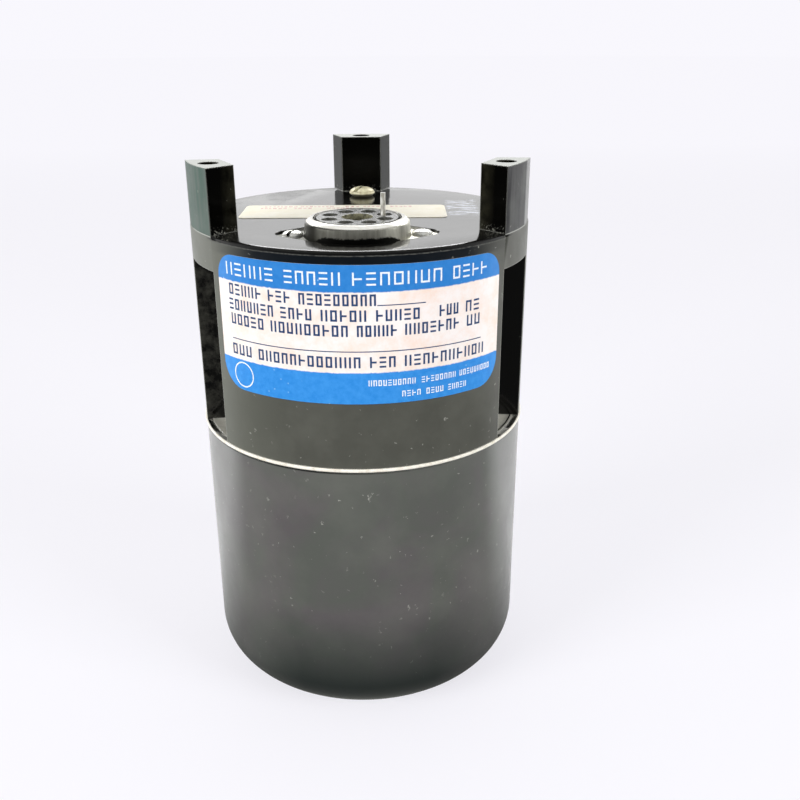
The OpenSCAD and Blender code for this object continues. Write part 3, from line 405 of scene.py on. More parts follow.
# Painted shade: the band above the label, under the plate's edge, is painted near black with a blue cast, and
# its dust too.
over_label = both(fade(spot[2], 154.0, 155.0), middle, fade(spot[1], -20.0, -30.0))
# Painted light: the wall is painted lighter towards the left side.
wall = blend(fade(spot[0], -48.0, -20.0), (0.120, 0.125, 0.104), (0.074, 0.075, 0.064))
wall = blend(over_label, wall, (0.002, 0.004, 0.007))
dust = blend(over_label, (0.135, 0.137, 0.118), (0.010, 0.012, 0.016))
case_dust_and_painted_light = dusty(where, wall, dust, 0.06, 0.8)
waver = fade(noise(where, 0.5, 3), 0.3, 0.7, -0.06, 0.06)
rim_level = sums("ADD", spot[2], waver)
in_front = fade(spot[1], -18.0, -20.0)
between_posts = both(in_front, fade(either_side(spot[0]), 45.0, 43.5))


def level_line(foot, head, soft=0.06):
    """A thin line round the rim, from foot to head."""
    return both(fade(rim_level, foot - soft, foot + soft), fade(rim_level, head + soft, head - soft))


# Painted reflection: a black line on the rim's rounding between the posts.
case_dust_and_painted_light = blend(both(level_line(157.50, 158.10), between_posts), case_dust_and_painted_light, (0.0, 0.0, 0.0))
broken = fade(noise(where, 1.2, 3), 0.28, 0.60)
# Painted highlight: a faint broken grey line just under it.
case_dust_and_painted_light = blend(both(level_line(157.12, 157.42), between_posts, broken), case_dust_and_painted_light, (0.085, 0.085, 0.078))
# Painted highlight: a pale line at the plate's edge along the front.
case_dust_and_painted_light = blend(both(level_line(158.20, 158.44), in_front), case_dust_and_painted_light, (0.40, 0.41, 0.38))
# Pale edges: wear and a painted highlight.
into("Base Color", blend(both(edge_wear_and_highlight, 0.8), case_dust_and_painted_light, (0.34, 0.34, 0.31)))
powdered(handled, 0.26)

post_wall, where, edge_wear_and_highlight = moulded("post_wall_phenolic", 0.10, (0.30, 0.42), 0.008)
spot = axes(where)
bands_where = stretched(where, (1.0, 1.0, 0.06))
banding = fade(noise(bands_where, 0.45, 3), 0.38, 0.62)
# Painted light: the left post's wall is painted lighter and greener than the right one.
left_side = blend(banding, (0.060, 0.102, 0.082), (0.095, 0.122, 0.108))
right_side = blend(banding, (0.052, 0.052, 0.054), (0.078, 0.078, 0.078))
# Painted highlight: a pale strip near the right post's right edge.
right_side = blend(fade(spot[0], 49.7, 50.1), right_side, (0.30, 0.30, 0.30))
post_dust_and_painted_light = dusty(
    where, blend(fade(spot[0], -20.0, 20.0), left_side, right_side), (0.150, 0.160, 0.150), 0.08, 1.0,
)
# Pale edges: wear and a painted highlight.
into("Base Color", blend(both(edge_wear_and_highlight, 0.5), post_dust_and_painted_light, (0.25, 0.26, 0.24)))

satin, where, edge_wear_and_highlight = moulded("post_phenolic", 0.04, (0.12, 0.20), 0.006)
spot = axes(where)
reach = from_middle(where)
inner_half = both(fade(spot[1], 0.0, -10.0), fade(reach, 49.5, 45.5))
smears = both(fade(noise(where, 0.16, 5, 0.6), 0.36, 0.64), inner_half)
crumbs = fade(noise(where, 1.5, 2, 0.6), 0.585, 0.66)
foot_grit = both(crumbs, fade(spot[2], plate_z + 2.5, plate_z + 0.3, 0.0, 0.7))
clean = blend(smears, (0.0010, 0.0010, 0.0008), (0.018, 0.017, 0.011))
# Painted highlight: the rear post's side flanks are painted lighter.
rear_flanks_painted_light = both(fade(spot[1], 20.0, 25.0), fade(either_side(sums("SUBTRACT", spot[0], 0.75)), 6.9, 7.3))
clean = blend(rear_flanks_painted_light, clean, (0.050, 0.051, 0.050))
clean = blend(most(specks(where, 0.8, 0.10, 0.05), foot_grit), clean, (0.30, 0.30, 0.26))
# Pale edges: wear and a painted highlight.
into("Base Color", blend(both(edge_wear_and_highlight, 0.6), clean, (0.22, 0.22, 0.20)))
case = dressed("upper_case", "moulded_black", 0.0, polished, handled, satin, post_wall)
wall_reach, plate_level, post_level = 53.6 * mm, (plate_z + 0.03) * mm, (post_z - 0.1) * mm
bm = bmesh.new()
bm.from_mesh(case.data)
bmesh.ops.bisect_plane(
    bm, geom=bm.verts[:] + bm.edges[:] + bm.faces[:], plane_co=(0, 0, plate_level), plane_no=(0, 0, 1),
)
bm.to_mesh(case.data)
bm.free()
for face in case.data.polygons:
    if face.center.xy.length > wall_reach:
        face.material_index = 3 if face.center.z > plate_level else 1
    elif plate_level < face.center.z < post_level:
        face.material_index = 2

# Name label: a varnished paper label, blue at its top and foot with a cream
# field between, glued round the front of the case and slightly bowed.
label_mid, label_radius, label_half, label_rise, label_tilt, label_bow = 268.4, 54.05, 47, 0.22, 0.0025, 0.30
paper_thick, print_lift = 0.15, 0.17


def wrapped(verts):
    """Bends flat work, drawn as (arc, height) in mm, round the front of the case."""
    for vert in verts:
        arc, out, height = vert.co
        turn = math.radians(label_mid + math.degrees(arc / label_radius))
        radius = (label_radius + out) * mm
        height += label_rise - label_tilt * arc + label_bow * (1 - (arc / label_half) ** 2)
        vert.co = (radius * math.cos(turn), radius * math.sin(turn), height * mm)


label_paper = blank("label_print", (0.9, 0.85, 0.76), 0.38)
where = place_of(label_paper)
height = axes(where)[2]
wobble = fade(noise(where, 0.9, 4), 0.3, 0.7, -0.12, 0.12)
level = sums("ADD", height, wobble)
bands = most(fade(level, 147.05, 147.35), fade(level, 123.80, 123.50))
blotch = fade(noise(where, 0.16, 6, 0.7), 0.40, 0.66)
cream = blend(blotch, (0.94, 0.88, 0.86), (0.92, 0.75, 0.66))
blue = mottled(where, 0.5, 0.35, 0.75, (0.028, 0.245, 0.70), (0.060, 0.325, 0.80), 5, 0.7)
# Painted shade: the blue darkens towards the label's top.
blue = blend(fade(height, 140.0, 147.0, 0.0, 0.45), blue, (0.022, 0.150, 0.46))
rubbed = specks(where, 0.5, 0.16, 0.10)
into("Base Color", blend(bands, cream, blend(rubbed, blue, (0.25, 0.50, 0.80))))
gloss(where, 0.3, 4, 0.30, 0.44)
grain(noise(where, 1.2, 4), 0.015)
label_edge = blank("label_cut_edge", (0.80, 0.76, 0.68), 0.8)
where = place_of(label_edge)
into("Base Color", blend(noise(where, 1.5), (0.85, 0.82, 0.75), (0.55, 0.52, 0.46)))
bm = bmesh.new()
left_end, right_end, foot_z, head_z, foot_corner, head_corner = -45.8, 47.0, 113.6, 154.4, 8.5, 6.8
ends = ((left_end, foot_z), (right_end, foot_z), (right_end, head_z), (left_end, head_z))
corners = [bm.verts.new((x, 0, z)) for x, z in ends]
bm.faces.new(corners)
for corner in corners:
    rounding = foot_corner if corner.co.z < (foot_z + head_z) / 2 else head_corner
    bmesh.ops.bevel(
        bm, geom=[corner], offset=rounding, offset_type="OFFSET", segments=10, profile=0.5, affect="VERTICES",
        material=-1,
    )
for cut in range(-46, 47, 2):
    bmesh.ops.bisect_plane(
        bm, geom=bm.verts[:] + bm.edges[:] + bm.faces[:], plane_co=(cut, 0, 0), plane_no=(1, 0, 0),
    )
back = bmesh.ops.extrude_face_region(bm, geom=bm.faces[:], use_keep_orig=True)["geom"]
bmesh.ops.translate(bm, vec=(0, paper_thick, 0), verts=[v for v in back if isinstance(v, bmesh.types.BMVert)])
for face in bm.faces:
    face.material_index = 0 if all(abs(v.co.y - paper_thick) < 1e-4 for v in face.verts) else 1
wrapped(bm.verts)
piece(
    "name_label_paper", bm, "unit", "label_blue", label_paper, label_edge, stands_for=("name_label",),
    sharp=50,
)

# Print on the name label: rows of small plain marks, dark blue on the cream field
# and white on the blue, with two ruled lines and a plain ring at the foot.
blue_ink = blank("blue_ink", (0.035, 0.06, 0.18), 0.45)
where = place_of(blue_ink)
into("Base Color", mottled(where, 2.2, 0.35, 0.75, (0.010, 0.035, 0.12), (0.05, 0.10, 0.22), 4, 0.55))
white_ink = blank("white_ink", (0.92, 0.94, 0.96), 0.45)
where = place_of(white_ink)
into("Base Color", mottled(where, 2.2, 0.4, 0.8, (0.94, 0.95, 0.97), (0.55, 0.70, 0.90), 4, 0.55))
rows = [
    (1, 150.5, 3.7, 3.75, [(-41.6, -24.1), (-20.5, -4.5), (-1.1, 24.6), (28.2, 40.7)]),
    (0, 144.5, 3.3, 2.60, [(-40.9, -28.5), (-26.0, -19.1), (-16.4, 5.3)]),
    (
        0, 140.0, 3.3, 2.60,
        [(-41.2, -24.6), (-22.2, -12.8), (-10.1, 2.6), (5.3, 17.8), (23.9, 30.1), (32.9, 38.1)],
    ),
    (0, 135.6, 3.3, 2.60, [(-40.7, -28.1), (-25.6, -2.6), (-0.1, 11.0), (13.5, 30.4), (33.4, 38.5)]),
    (0, 126.3, 3.3, 2.75, [(-41.0, -33.2), (-30.5, 0.7), (3.4, 10.7), (13.4, 40.3)]),
    (1, 120.0, 1.8, 1.45, [(2.9, 16.6), (18.5, 29.7), (31.1, 43.2)]),
    (1, 116.3, 1.8, 1.45, [(12.6, 18.2), (20.0, 25.5), (27.2, 33.6)]),
]
bm = bmesh.new()


def bar(left, right, foot, head, ink):
    """One printed bar, laid in short lengths so that it follows the curved paper."""
    lengths = max(1, round((right - left) / 2))
    wide = (right - left) / lengths
    for k in range(lengths):
        made = bmesh.ops.create_grid(bm, x_segments=1, y_segments=1, size=0.5)["verts"]
        bmesh.ops.scale(bm, vec=(wide, head - foot, 1), verts=made)
        bmesh.ops.rotate(bm, cent=(0, 0, 0), matrix=Matrix.Rotation(math.radians(90), 3, "X"), verts=made)
        bmesh.ops.translate(bm, vec=(left + wide * (k + 0.5), print_lift, (foot + head) / 2), verts=made)
        for face in made[0].link_faces:
            face.material_index = ink


random.seed(11)
shapes = (
    "left right top foot", "left right top", "left right foot", "left right", "top middle foot",
    "left middle",
)
for ink, z, tall, pitch, words in rows:
    line = tall * (0.14 if pitch > 3 else 0.17)
    for start, end in words:
        places = max(2, round((end - start + 0.3 * pitch) / pitch))
        step = (end - start + 0.3 * pitch) / places
        for k in range(places):
            left = start + k * step
            right, foot, head = left + step * 0.7, z - tall / 2, z + tall / 2
            bars = {
                "left": (left, left + line, foot, head), "right": (right - line, right, foot, head),
                "top": (left, right, head - line, head), "foot": (left, right, foot, foot + line),
                "middle": (left, right, z - line / 2, z + line / 2),
            }
            for side in random.choice(shapes).split():
                bar(*bars[side], ink)
bar(5.7, 19.6, 142.8, 143.1, 0)
bar(-40.8, 39.1, 129.35, 129.65, 0)
ring_arc, ring_mid, ring_out, ring_in, ring_steps = -37.0, 118.6, 4.0, 3.6, 32
for k in range(ring_steps):
    corners = []
    for radius, step in ((ring_in, k), (ring_out, k), (ring_out, k + 1), (ring_in, k + 1)):
        turn = 2 * math.pi * step / ring_steps
        place = (ring_arc + radius * math.cos(turn), print_lift, ring_mid + radius * math.sin(turn))
        corners.append(bm.verts.new(place))
    bm.faces.new(corners).material_index = 1
wrapped(bm.verts)
piece("name_label_marks", bm, "unit", "label_blue", blue_ink, white_ink)

# Top label: a plain cream paper strip glued on the top plate between the socket
# and the chassis screw, yellowed, with two rows of faint red marks at its back.
top_paper = blank("top_label_paper", (0.86, 0.78, 0.56), 0.6)
where = place_of(top_paper)
into("Base Color", mottled(where, 0.12, 0.38, 0.72, (0.86, 0.81, 0.66), (0.78, 0.71, 0.50)))
grain(noise(where, 1.5, 4), 0.02)
frame["nodes"]["top_label"].data.materials[0] = top_paper
red_ink = blank("red_ink", (0.45, 0.16, 0.12), 0.5)
where = place_of(red_ink)
into("Base Color", mottled(where, 1.4, 0.42, 0.65, (0.84, 0.66, 0.54), (0.46, 0.10, 0.09), 4, 0.55))
bm = bmesh.new()
random.seed(4)
red_rows = (
    (8.0, [(-27, -17), (-15, -4), (0, 3.5), (6, 13), (15, 22)]), (5.1, [(-28, -20), (-17, -12), (-6, 2)]),
)
mark_tall, mark_gap = 1.8, 0.5
for row_y, spans in red_rows:
    for left, right in spans:
        x = left
        while x < right:
            wide = random.uniform(0.7, 1.3)
            made = bmesh.ops.create_grid(bm, x_segments=1, y_segments=1, size=0.5)["verts"]
            bmesh.ops.scale(bm, vec=(wide, mark_tall, 1), verts=made)
            bmesh.ops.translate(bm, vec=(x + wide / 2, row_y, 0), verts=made)
            x += wide + mark_gap
bmesh.ops.scale(bm, vec=(mm, mm, mm), verts=bm.verts)
bmesh.ops.rotate(bm, cent=(0, 0, 0), matrix=Matrix.Rotation(math.radians(-2.1), 3, "Z"), verts=bm.verts)
bmesh.ops.translate(bm, vec=Vector((-5.2, 4.3, plate_z + 0.18)) * mm, verts=bm.verts)
piece("top_label_marks", bm, "unit", "label_cream", red_ink)

# Octal socket's saddle: one piece of dull nickelled sheet, drawn up into a ring
# whose lip turns in over the insulator. It sits in a recess in the top plate.
socket_x, socket_y, ring_z, screw_aside = -0.9, -28.9, 163.2, 19.05
nickel = blank("dull_nickel", (0.60, 0.59, 0.55), 0.3, 1.0)
where = place_of(nickel)
tarnish = fade(noise(where, 0.45, 7, 0.7), 0.36, 0.70)
spot = axes(where)
brushed = stretched(where, (1.0, 1.0, 0.12))
wall_metal = mottled(brushed, 0.9, 0.35, 0.65, (0.80, 0.79, 0.70), (0.56, 0.55, 0.47), 4, 0.6)
# Painted shade: the ring's wall is painted dark towards its left end.
wall_metal = blend(fade(spot[0], -13.5, -6.0), (0.09, 0.09, 0.075), wall_metal)
# Painted shade: a dark line round the lip's bend, fading out on the right.
crease_painted_shade = both(fade(spot[2], 161.9, 162.1), fade(spot[0], 6.0, 1.0, 0.0, 0.7))
wall_metal = blend(crease_painted_shade, wall_metal, (0.05, 0.05, 0.045))
# Painted highlight: the ring's rounded corner below the lip's top is painted near white.
corner_painted_highlight = blend(tarnish, (0.94, 0.93, 0.88), (0.78, 0.76, 0.68))
lip_metal = blend(tarnish, (0.58, 0.57, 0.53), (0.42, 0.40, 0.35))
lip_metal = blend(fade(spot[2], 163.0, 163.15), corner_painted_highlight, lip_metal)
metal = blend(fade(spot[2], 162.25, 162.45), wall_metal, lip_metal)
ragged = fade(noise(where, 0.8, 5, 0.7), 0.3, 0.7, -0.35, 0.35)
# Painted reflection: a dark band round the front of the ring's foot, under a ragged edge.
dark_band_head = fade(spot[1], -37.5, -41.5, 157.6, 159.9)
below = sums("SUBTRACT", dark_band_head, sums("ADD", spot[2], ragged))
ring_foot_painted_reflection = both(fade(below, -0.1, 0.3), fade(spot[2], 157.9, 158.1))
into("Base Color", blend(ring_foot_painted_reflection, metal, (0.02, 0.02, 0.018)))
into("Metallic", fade(spot[2], 162.1, 162.5, 1.0, 0.35))
on_lip = fade(spot[2], 161.4, 162.4, 0.30, 0.0)
into("Roughness", sums("ADD", on_lip, fade(noise(where, 0.9, 6, 0.7), 0.3, 0.75, 0.14, 0.28)))
grain(noise(where, 1.2, 4, 0.6), 0.015)
saddle = dressed("socket_saddle", "nickel_sheet", 0.12, nickel)
shoulder_z, lip_r, wall_r, corner_fall = 161.0, 12.6, 15.8, 1.5
for vert in saddle.data.vertices:
    rise = (vert.co.z / mm - shoulder_z) / (ring_z - shoulder_z)
    if rise > 0:
        out = Vector((vert.co.x / mm - socket_x, vert.co.y / mm - socket_y, 0))
        lean = corner_fall * rise ** 1.5 * (out.length - lip_r) / (wall_r - lip_r)
        vert.co -= out.normalized() * lean * mm

# Socket insulator: a grey-black phenolic disc with eight contact holes round a
# keyed middle hole, held down by the ring's lip. The hole edges are rubbed pale.
socket_body = blank("socket_phenolic", (0.05, 0.052, 0.048), 0.25)
where = place_of(socket_body, centre=(socket_x, socket_y, 0))
wear = fade(noise(where, 0.6, 6, 0.7), 0.42, 0.70)
reach = from_middle(where)
face = blend(wear, (0.045, 0.047, 0.043), (0.15, 0.15, 0.135))
key_wall = mottled(where, 0.9, 0.4, 0.65, (0.20, 0.19, 0.12), (0.05, 0.05, 0.04), 5, 0.7)
into("Base Color", blend(fade(reach, 4.75, 4.65), face, key_wall))
gloss(where, 0.8, 5, 0.16, 0.34)
grain(noise(where, 1.4, 5, 0.7), 0.03)
dressed("socket_insulator", "socket_phenolic", 0.15, socket_body)

# Socket contacts: eight rolled brass tubes with solder tails, set just below the
# insulator's face. The bores are dull and dark.
spring_brass = blank("spring_brass", (0.62, 0.50, 0.27), 0.38, 1.0)
where = place_of(spring_brass)
into("Base Color", mottled(where, 0.7, 0.36, 0.7, (0.70, 0.56, 0.30), (0.32, 0.24, 0.12)))
gloss(where, 1.5, 4, 0.28, 0.5)
for node in ("socket_contacts", "open_contact", "closed_contact"):
    frame["nodes"][node].data.materials[0] = spring_brass

# Standing pin: a plain bright pin left in the right rear contact, streaked along
# its length.
pin_wire = blank("bright_pin_wire", (0.86, 0.85, 0.80), 0.1, 0.1)
where = place_of(pin_wire, scale=(1, 1, 0.2))
into("Base Color", mottled(where, 1.4, 0.44, 0.60, (0.90, 0.89, 0.84), (0.30, 0.29, 0.25), 5, 0.55))
gloss(where, 2.0, 4, 0.06, 0.18)
frame["nodes"]["standing_pin"].data.materials[0] = pin_wire

# Fasteners: slotted pan-head screws and their nuts, zinc plated, some of them
# dulled. They hold the saddle, the chassis plate, the relay and the board.
zinc = blank("zinc_plate", (0.66, 0.66, 0.63), 0.3, 1.0)
where = place_of(zinc)
into("Base Color", mottled(where, 0.8, 0.38, 0.7, (0.78, 0.78, 0.75), (0.48, 0.47, 0.42)))
gloss(where, 1.4, 5, 0.18, 0.4)
grain(noise(where, 2.5, 4), 0.015)
for node in ("socket_nuts", "pillar_screw", "plate_screws", "strap_screws", "relay_screws", "board_screws"):
    frame["nodes"][node].data.materials[0] = zinc


def slotted_screw(bm, outline, slot_wide, slot_floor, at, turn):
    """Turns a screw to its outline, then saws the driver's slot across its head."""
    for side in (-1, 1, 0):
        made = turned(bm, outline, steps=64, closed=False)
        cuts = [((0, 0, slot_floor * mm), (0, 0, 1 if side else -1))]
        if side:
            cuts.append(((0, side * slot_wide / 2 * mm, 0), (0, side, 0)))
        for point, away in cuts:
            faces = {face for vert in made for face in vert.link_faces}
            edges = {edge for face in faces for edge in face.edges}
            cut = bmesh.ops.bisect_plane(
                bm, geom=made + list(edges) + list(faces), plane_co=point, plane_no=away, clear_inner=True,
            )
            rim = [line for line in cut["geom_cut"] if isinstance(line, bmesh.types.BMEdge)]
            bmesh.ops.holes_fill(bm, edges=rim, sides=0)
            kept = [item for item in cut["geom"] + cut["geom_cut"] if item.is_valid]
            made = list({
                vert for item in kept
                for vert in ([item] if isinstance(item, bmesh.types.BMVert) else item.verts)
            })
        bmesh.ops.rotate(bm, verts=made, cent=(0, 0, 0), matrix=Matrix.Rotation(math.radians(turn), 3, "Z"))
        bmesh.ops.translate(bm, verts=made, vec=Vector(at) * mm)


bright_zinc = blank("bright_zinc", (0.86, 0.86, 0.83), 0.2, 0.5)
where = place_of(bright_zinc)
plated = mottled(where, 0.7, 0.45, 0.75, (0.90, 0.90, 0.86), (0.62, 0.60, 0.52), 5, 0.6)
spot = axes(where)
beside = either_side(sums("SUBTRACT", spot[0], socket_x))
offsets = {0: sums("SUBTRACT", beside, screw_aside), 1: sums("SUBTRACT", spot[1], socket_y)}
from_axis = from_middle(add(bright_zinc.node_tree, "CombineXYZ", offsets).outputs[0])
# Painted shade: the saddle screws' slots are painted dark in their depth.
painted_slot_shade = both(fade(from_axis, 2.7, 2.6), fade(spot[2], plate_z + 0.35, plate_z + 0.25))
into("Base Color", blend(painted_slot_shade, plated, (0.03, 0.03, 0.025)))
gloss(where, 1.4, 4, 0.14, 0.30)
saddle_top, head_r, shank_r, shank_foot, slot_wide, slot_floor = plate_z - 0.8, 3.2, 1.3, -5, 1.1, 0.3
head = [(0, 1.7, 0), (1.6, 1.6, 0.6), (head_r, 0.9, 0.8), (head_r, 0, 0)]
shank = [(shank_r, 0, 0), (shank_r, shank_foot, 0), (0, shank_foot, 0)]
bm = bmesh.new()
for side, turn in ((-1, 63), (1, -4)):
    slotted_screw(
        bm, head + shank, slot_wide, slot_floor, (socket_x + side * screw_aside, socket_y, saddle_top), turn,
    )
piece("saddle_screws", bm, "unit", "zinc_fastener", bright_zinc, stands_for=("socket_screws",), edge=0.1)

# Chassis screw: a low domed head with a broad slot, in yellowed cream plate. It
# runs through the top plate into the pillar.
cream_plate = blank("cream_plate", (0.78, 0.72, 0.52), 0.42, 0.15)
where = place_of(cream_plate)
dome_colour = mottled(where, 0.5, 0.4, 0.7, (0.80, 0.76, 0.54), (0.46, 0.40, 0.22))
grain(noise(where, 1.2, 5), 0.03)
dome_x, dome_y, slot_turn, slot_wide, slot_deep = 0.8, 34.6, 52, 1.5, 1.5
slot_spot = axes(place_of(cream_plate, centre=(dome_x, dome_y, 0), turn=math.radians(-slot_turn)))
# Painted shade: one half of the dome's slot and the dome's lower flank are painted dark.
painted_slot_shade = both(fade(either_side(slot_spot[1]), 0.80, 0.74), fade(slot_spot[0], -1.0, 0.0))
in_shade = fade(slot_spot[2], plate_z + 1.3, plate_z + 0.6, 0.0, 0.85)
into("Base Color", blend(most(painted_slot_shade, in_shade), dome_colour, (0.03, 0.026, 0.015)))
dome_r, dome_h, dome_rim, dome_foot, shank_r, shank_foot = 4.5, 3.25, 1.0, 0.35, 2, -12
falls = [math.pi * k / 28 for k in range(15)]
dome = [(dome_r * math.sin(a), dome_rim + (dome_h - dome_rim) * math.cos(a), 0) for a in falls]
shank = [(3.9, dome_foot, 0), (3.4, 0, 0), (shank_r, 0, 0), (shank_r, shank_foot, 0), (0, shank_foot, 0)]
bm = bmesh.new()
slotted_screw(bm, dome + shank, slot_wide, dome_h - slot_deep, (dome_x, dome_y, plate_z), slot_turn)
piece("chassis_screw_domed", bm, "unit", "cream_screw", cream_plate, stands_for=("chassis_screw",), edge=0.15)

# Chassis pillar and board standoffs: hexagonal brass bar, turned at the ends
# and tapped for their screws.
bar_brass = blank("bar_brass", (0.66, 0.54, 0.28), 0.3, 1.0)
where = place_of(bar_brass, scale=(1, 1, 0.08))
into("Base Color", mottled(where, 0.9, 0.36, 0.7, (0.74, 0.62, 0.34), (0.50, 0.39, 0.18)))
gloss(where, 3.0, 4, 0.2, 0.42)
grain(noise(where, 4.0, 3), 0.01)
dressed("chassis_pillar", "pillar_brass", 0.2, bar_brass)
dressed("board_standoffs", "pillar_brass", 0.2, bar_brass)

# Chassis plate and transformer strap: steel sheet with a yellow passivated
# plate that shifts in colour, and faint rolling lines.
passivated = blank("passivated_steel", (0.60, 0.56, 0.42), 0.36, 0.9)
where = place_of(passivated)
tint = fade(noise(where, 0.05, 5, 0.6), 0.35, 0.68)
rolled = noise(place_of(passivated, scale=(0.06, 1, 1)), 2.4, 3)
into("Base Color", blend(tint, (0.66, 0.63, 0.52), (0.62, 0.52, 0.30)))
into("Roughness", fade(rolled, 0.3, 0.7, 0.26, 0.46))
grain(rolled, 0.008)
dressed("chassis_plate", "plated_steel", 0.2, passivated)
dressed("transformer_strap", "plated_steel", 0.2, passivated)

# Wire grommet: a soft black rubber ring in the chassis plate's wire hole, which
# keeps the wires off the sheet's edge.
soft_rubber = blank("soft_rubber", (0.02, 0.02, 0.02), 0.7)
where = place_of(soft_rubber)
into("Base Color", blend(noise(where, 0.6, 5), (0.014, 0.014, 0.014), (0.045, 0.045, 0.042)))
grain(noise(where, 2.0, 3), 0.02)
dressed("wire_grommet", "grommet_rubber", 0.4, soft_rubber)

# Transformer core: a stack of thin varnished iron laminations on edge, so its
# sides show a fine line for each sheet.
iron = blank("varnished_laminations", (0.12, 0.115, 0.11), 0.42, 0.5)
where = place_of(iron)
sheets = add(
    iron.node_tree, "TexWave",
    {"Vector": where, "Scale": 0.32, "Distortion": 0.6, "Detail": 2.0, "Detail Scale": 0.5},
    wave_type="BANDS", bands_direction="X",
).outputs["Fac"]
rust = fade(noise(where, 0.2, 6, 0.7), 0.52, 0.75)
into("Base Color", blend(rust, blend(sheets, (0.05, 0.048, 0.045), (0.20, 0.195, 0.185)), (0.20, 0.10, 0.05)))
gloss(where, 0.5, 5, 0.32, 0.55)
grain(sheets, 0.05)
dressed("transformer_core", "core_iron", 0.3, iron)

# Transformer bobbin: a natural-coloured moulding with three flanges, one at
# each end and one between the windings.
bobbin_stock = blank("bobbin_stock", (0.70, 0.64, 0.46), 0.5)
where = place_of(bobbin_stock)
into("Base Color", mottled(where, 0.18, 0.38, 0.7, (0.76, 0.70, 0.53), (0.60, 0.50, 0.30)))
grain(noise(where, 1.3, 5), 0.02)
dressed("transformer_bobbin", "bobbin_paper", 0.2, bobbin_stock)
dressed("relay_bobbin", "bobbin_paper", 0.15, bobbin_stock)

# Primary winding: layers of enamelled wire under turns of yellow cloth tape,
# whose overlaps show as bands with a woven grain.
tape = blank("yellow_tape", (0.72, 0.52, 0.10), 0.55)
where = place_of(tape)
laps = add(
    tape.node_tree, "TexWave", {"Vector": where, "Scale": 0.055, "Distortion": 0.5, "Detail": 1.0},
    wave_type="BANDS", bands_direction="Z", wave_profile="SAW",
).outputs["Fac"]
weave = noise(where, 2.6, 2)
cloth = blend(weave, (0.78, 0.57, 0.12), (0.62, 0.42, 0.07))
into("Base Color", blend(fade(laps, 0.9, 1.0), cloth, (0.40, 0.26, 0.05)))
grain(sums("ADD", laps, weave), 0.08)
dressed("primary_winding", "winding_tape", 0.5, tape)

# Secondary winding and relay coil: rows of enamelled copper wire side by side,
# dark red-brown, each turn catching its own thin light.
enamelled = blank("enamelled_copper", (0.42, 0.13, 0.05), 0.28, 0.75)
where = place_of(enamelled)
turns = add(
    enamelled.node_tree, "TexWave",
    {"Vector": where, "Scale": 0.62, "Distortion": 0.25, "Detail": 1.0, "Detail Scale": 0.3},
    wave_type="BANDS", bands_direction="Z",
).outputs["Fac"]
into("Base Color", blend(turns, (0.13, 0.035, 0.015), (0.58, 0.20, 0.08)))
gloss(where, 0.7, 4, 0.2, 0.38)
grain(turns, 0.10)
dressed("secondary_winding", "copper_enamel", 0.5, enamelled)
dressed("relay_winding", "copper_enamel", 0.4, enamelled)

# Relay iron: the yoke, the pole and the armature, plated soft iron with blanked
# edges. The armature rocks on the yoke's end.
relay_iron = blank("relay_iron", (0.52, 0.51, 0.48), 0.34, 1.0)
where = place_of(relay_iron)
into("Base Color", mottled(where, 0.3, 0.36, 0.7, (0.60, 0.59, 0.56), (0.38, 0.36, 0.31)))
gloss(where, 1.2, 5, 0.24, 0.46)
grain(noise(where, 2.0, 4), 0.02)
dressed("relay_yoke", "relay_steel", 0.2, relay_iron)
dressed("relay_armature", "relay_steel", 0.15, relay_iron)
frame["nodes"]["relay_pole"].data.materials[0] = relay_iron

# Contact arm: a phosphor bronze leaf riveted to the armature over a pad, with a
# contact button on both faces.
bronze = blank("phosphor_bronze", (0.62, 0.38, 0.18), 0.32, 1.0)
where = place_of(bronze)
into("Base Color", mottled(where, 0.6, 0.36, 0.7, (0.70, 0.45, 0.22), (0.42, 0.23, 0.10)))
grain(noise(place_of(bronze, scale=(0.1, 1, 1)), 3.0, 3), 0.01)
dressed("contact_arm", "arm_bronze", 0.08, bronze)

# Return spring: nine turns of drawn steel wire between the yoke's tab and the
# armature's tail, which pull the armature open.
chassis_z, spring_x, coil_r = 89.1, 43.5, 2.1


def tube(name, path, radius, body, slot, material, stands_for=(), sharp=35):
    """A round wire along a path of points in mm, as a mesh with a profile of its own."""
    curve = bpy.data.curves.new(name, "CURVE")
    curve.dimensions = "3D"
    line = curve.splines.new("POLY")
    line.points.add(len(path) - 1)
    for point, co in zip(line.points, path):
        point.co = (*(Vector(co) * mm), 1)
    curve.bevel_depth = radius * mm
    curve.bevel_resolution = 2
    curve.use_fill_caps = True
    drawn = bpy.data.objects.new(name + "_line", curve)
    bpy.context.scene.collection.objects.link(drawn)
    mesh = bpy.data.meshes.new_from_object(drawn.evaluated_get(bpy.context.evaluated_depsgraph_get()))
    bpy.data.objects.remove(drawn)
    bpy.data.curves.remove(curve)
    bm = bmesh.new()
    bm.from_mesh(mesh)
    bpy.data.meshes.remove(mesh)
    bmesh.ops.remove_doubles(bm, verts=bm.verts, dist=1e-7)
    return piece(name, bm, body, slot, material, stands_for=stands_for, sharp=sharp)


spring_wire = blank("spring_wire", (0.60, 0.60, 0.58), 0.25, 1.0)
where = place_of(spring_wire)
into("Base Color", blend(noise(where, 1.0, 5), (0.70, 0.70, 0.68), (0.42, 0.41, 0.38)))
spring_foot, spring_head, coil_steps = 15.4, 33.65, 30
all_steps = 9 * coil_steps
path = []
for k in range(all_steps + 1):
    turn = 2 * math.pi * k / coil_steps
    drop = spring_foot + (spring_head - spring_foot) * k / all_steps
    path.append((spring_x + coil_r * math.cos(turn), coil_r * math.sin(turn), chassis_z - drop))
spring = tube(
    "return_spring_coil", path, 0.35, None, "spring_wire", spring_wire, stands_for=("return_spring",),
    sharp=180,
)
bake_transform(spring)

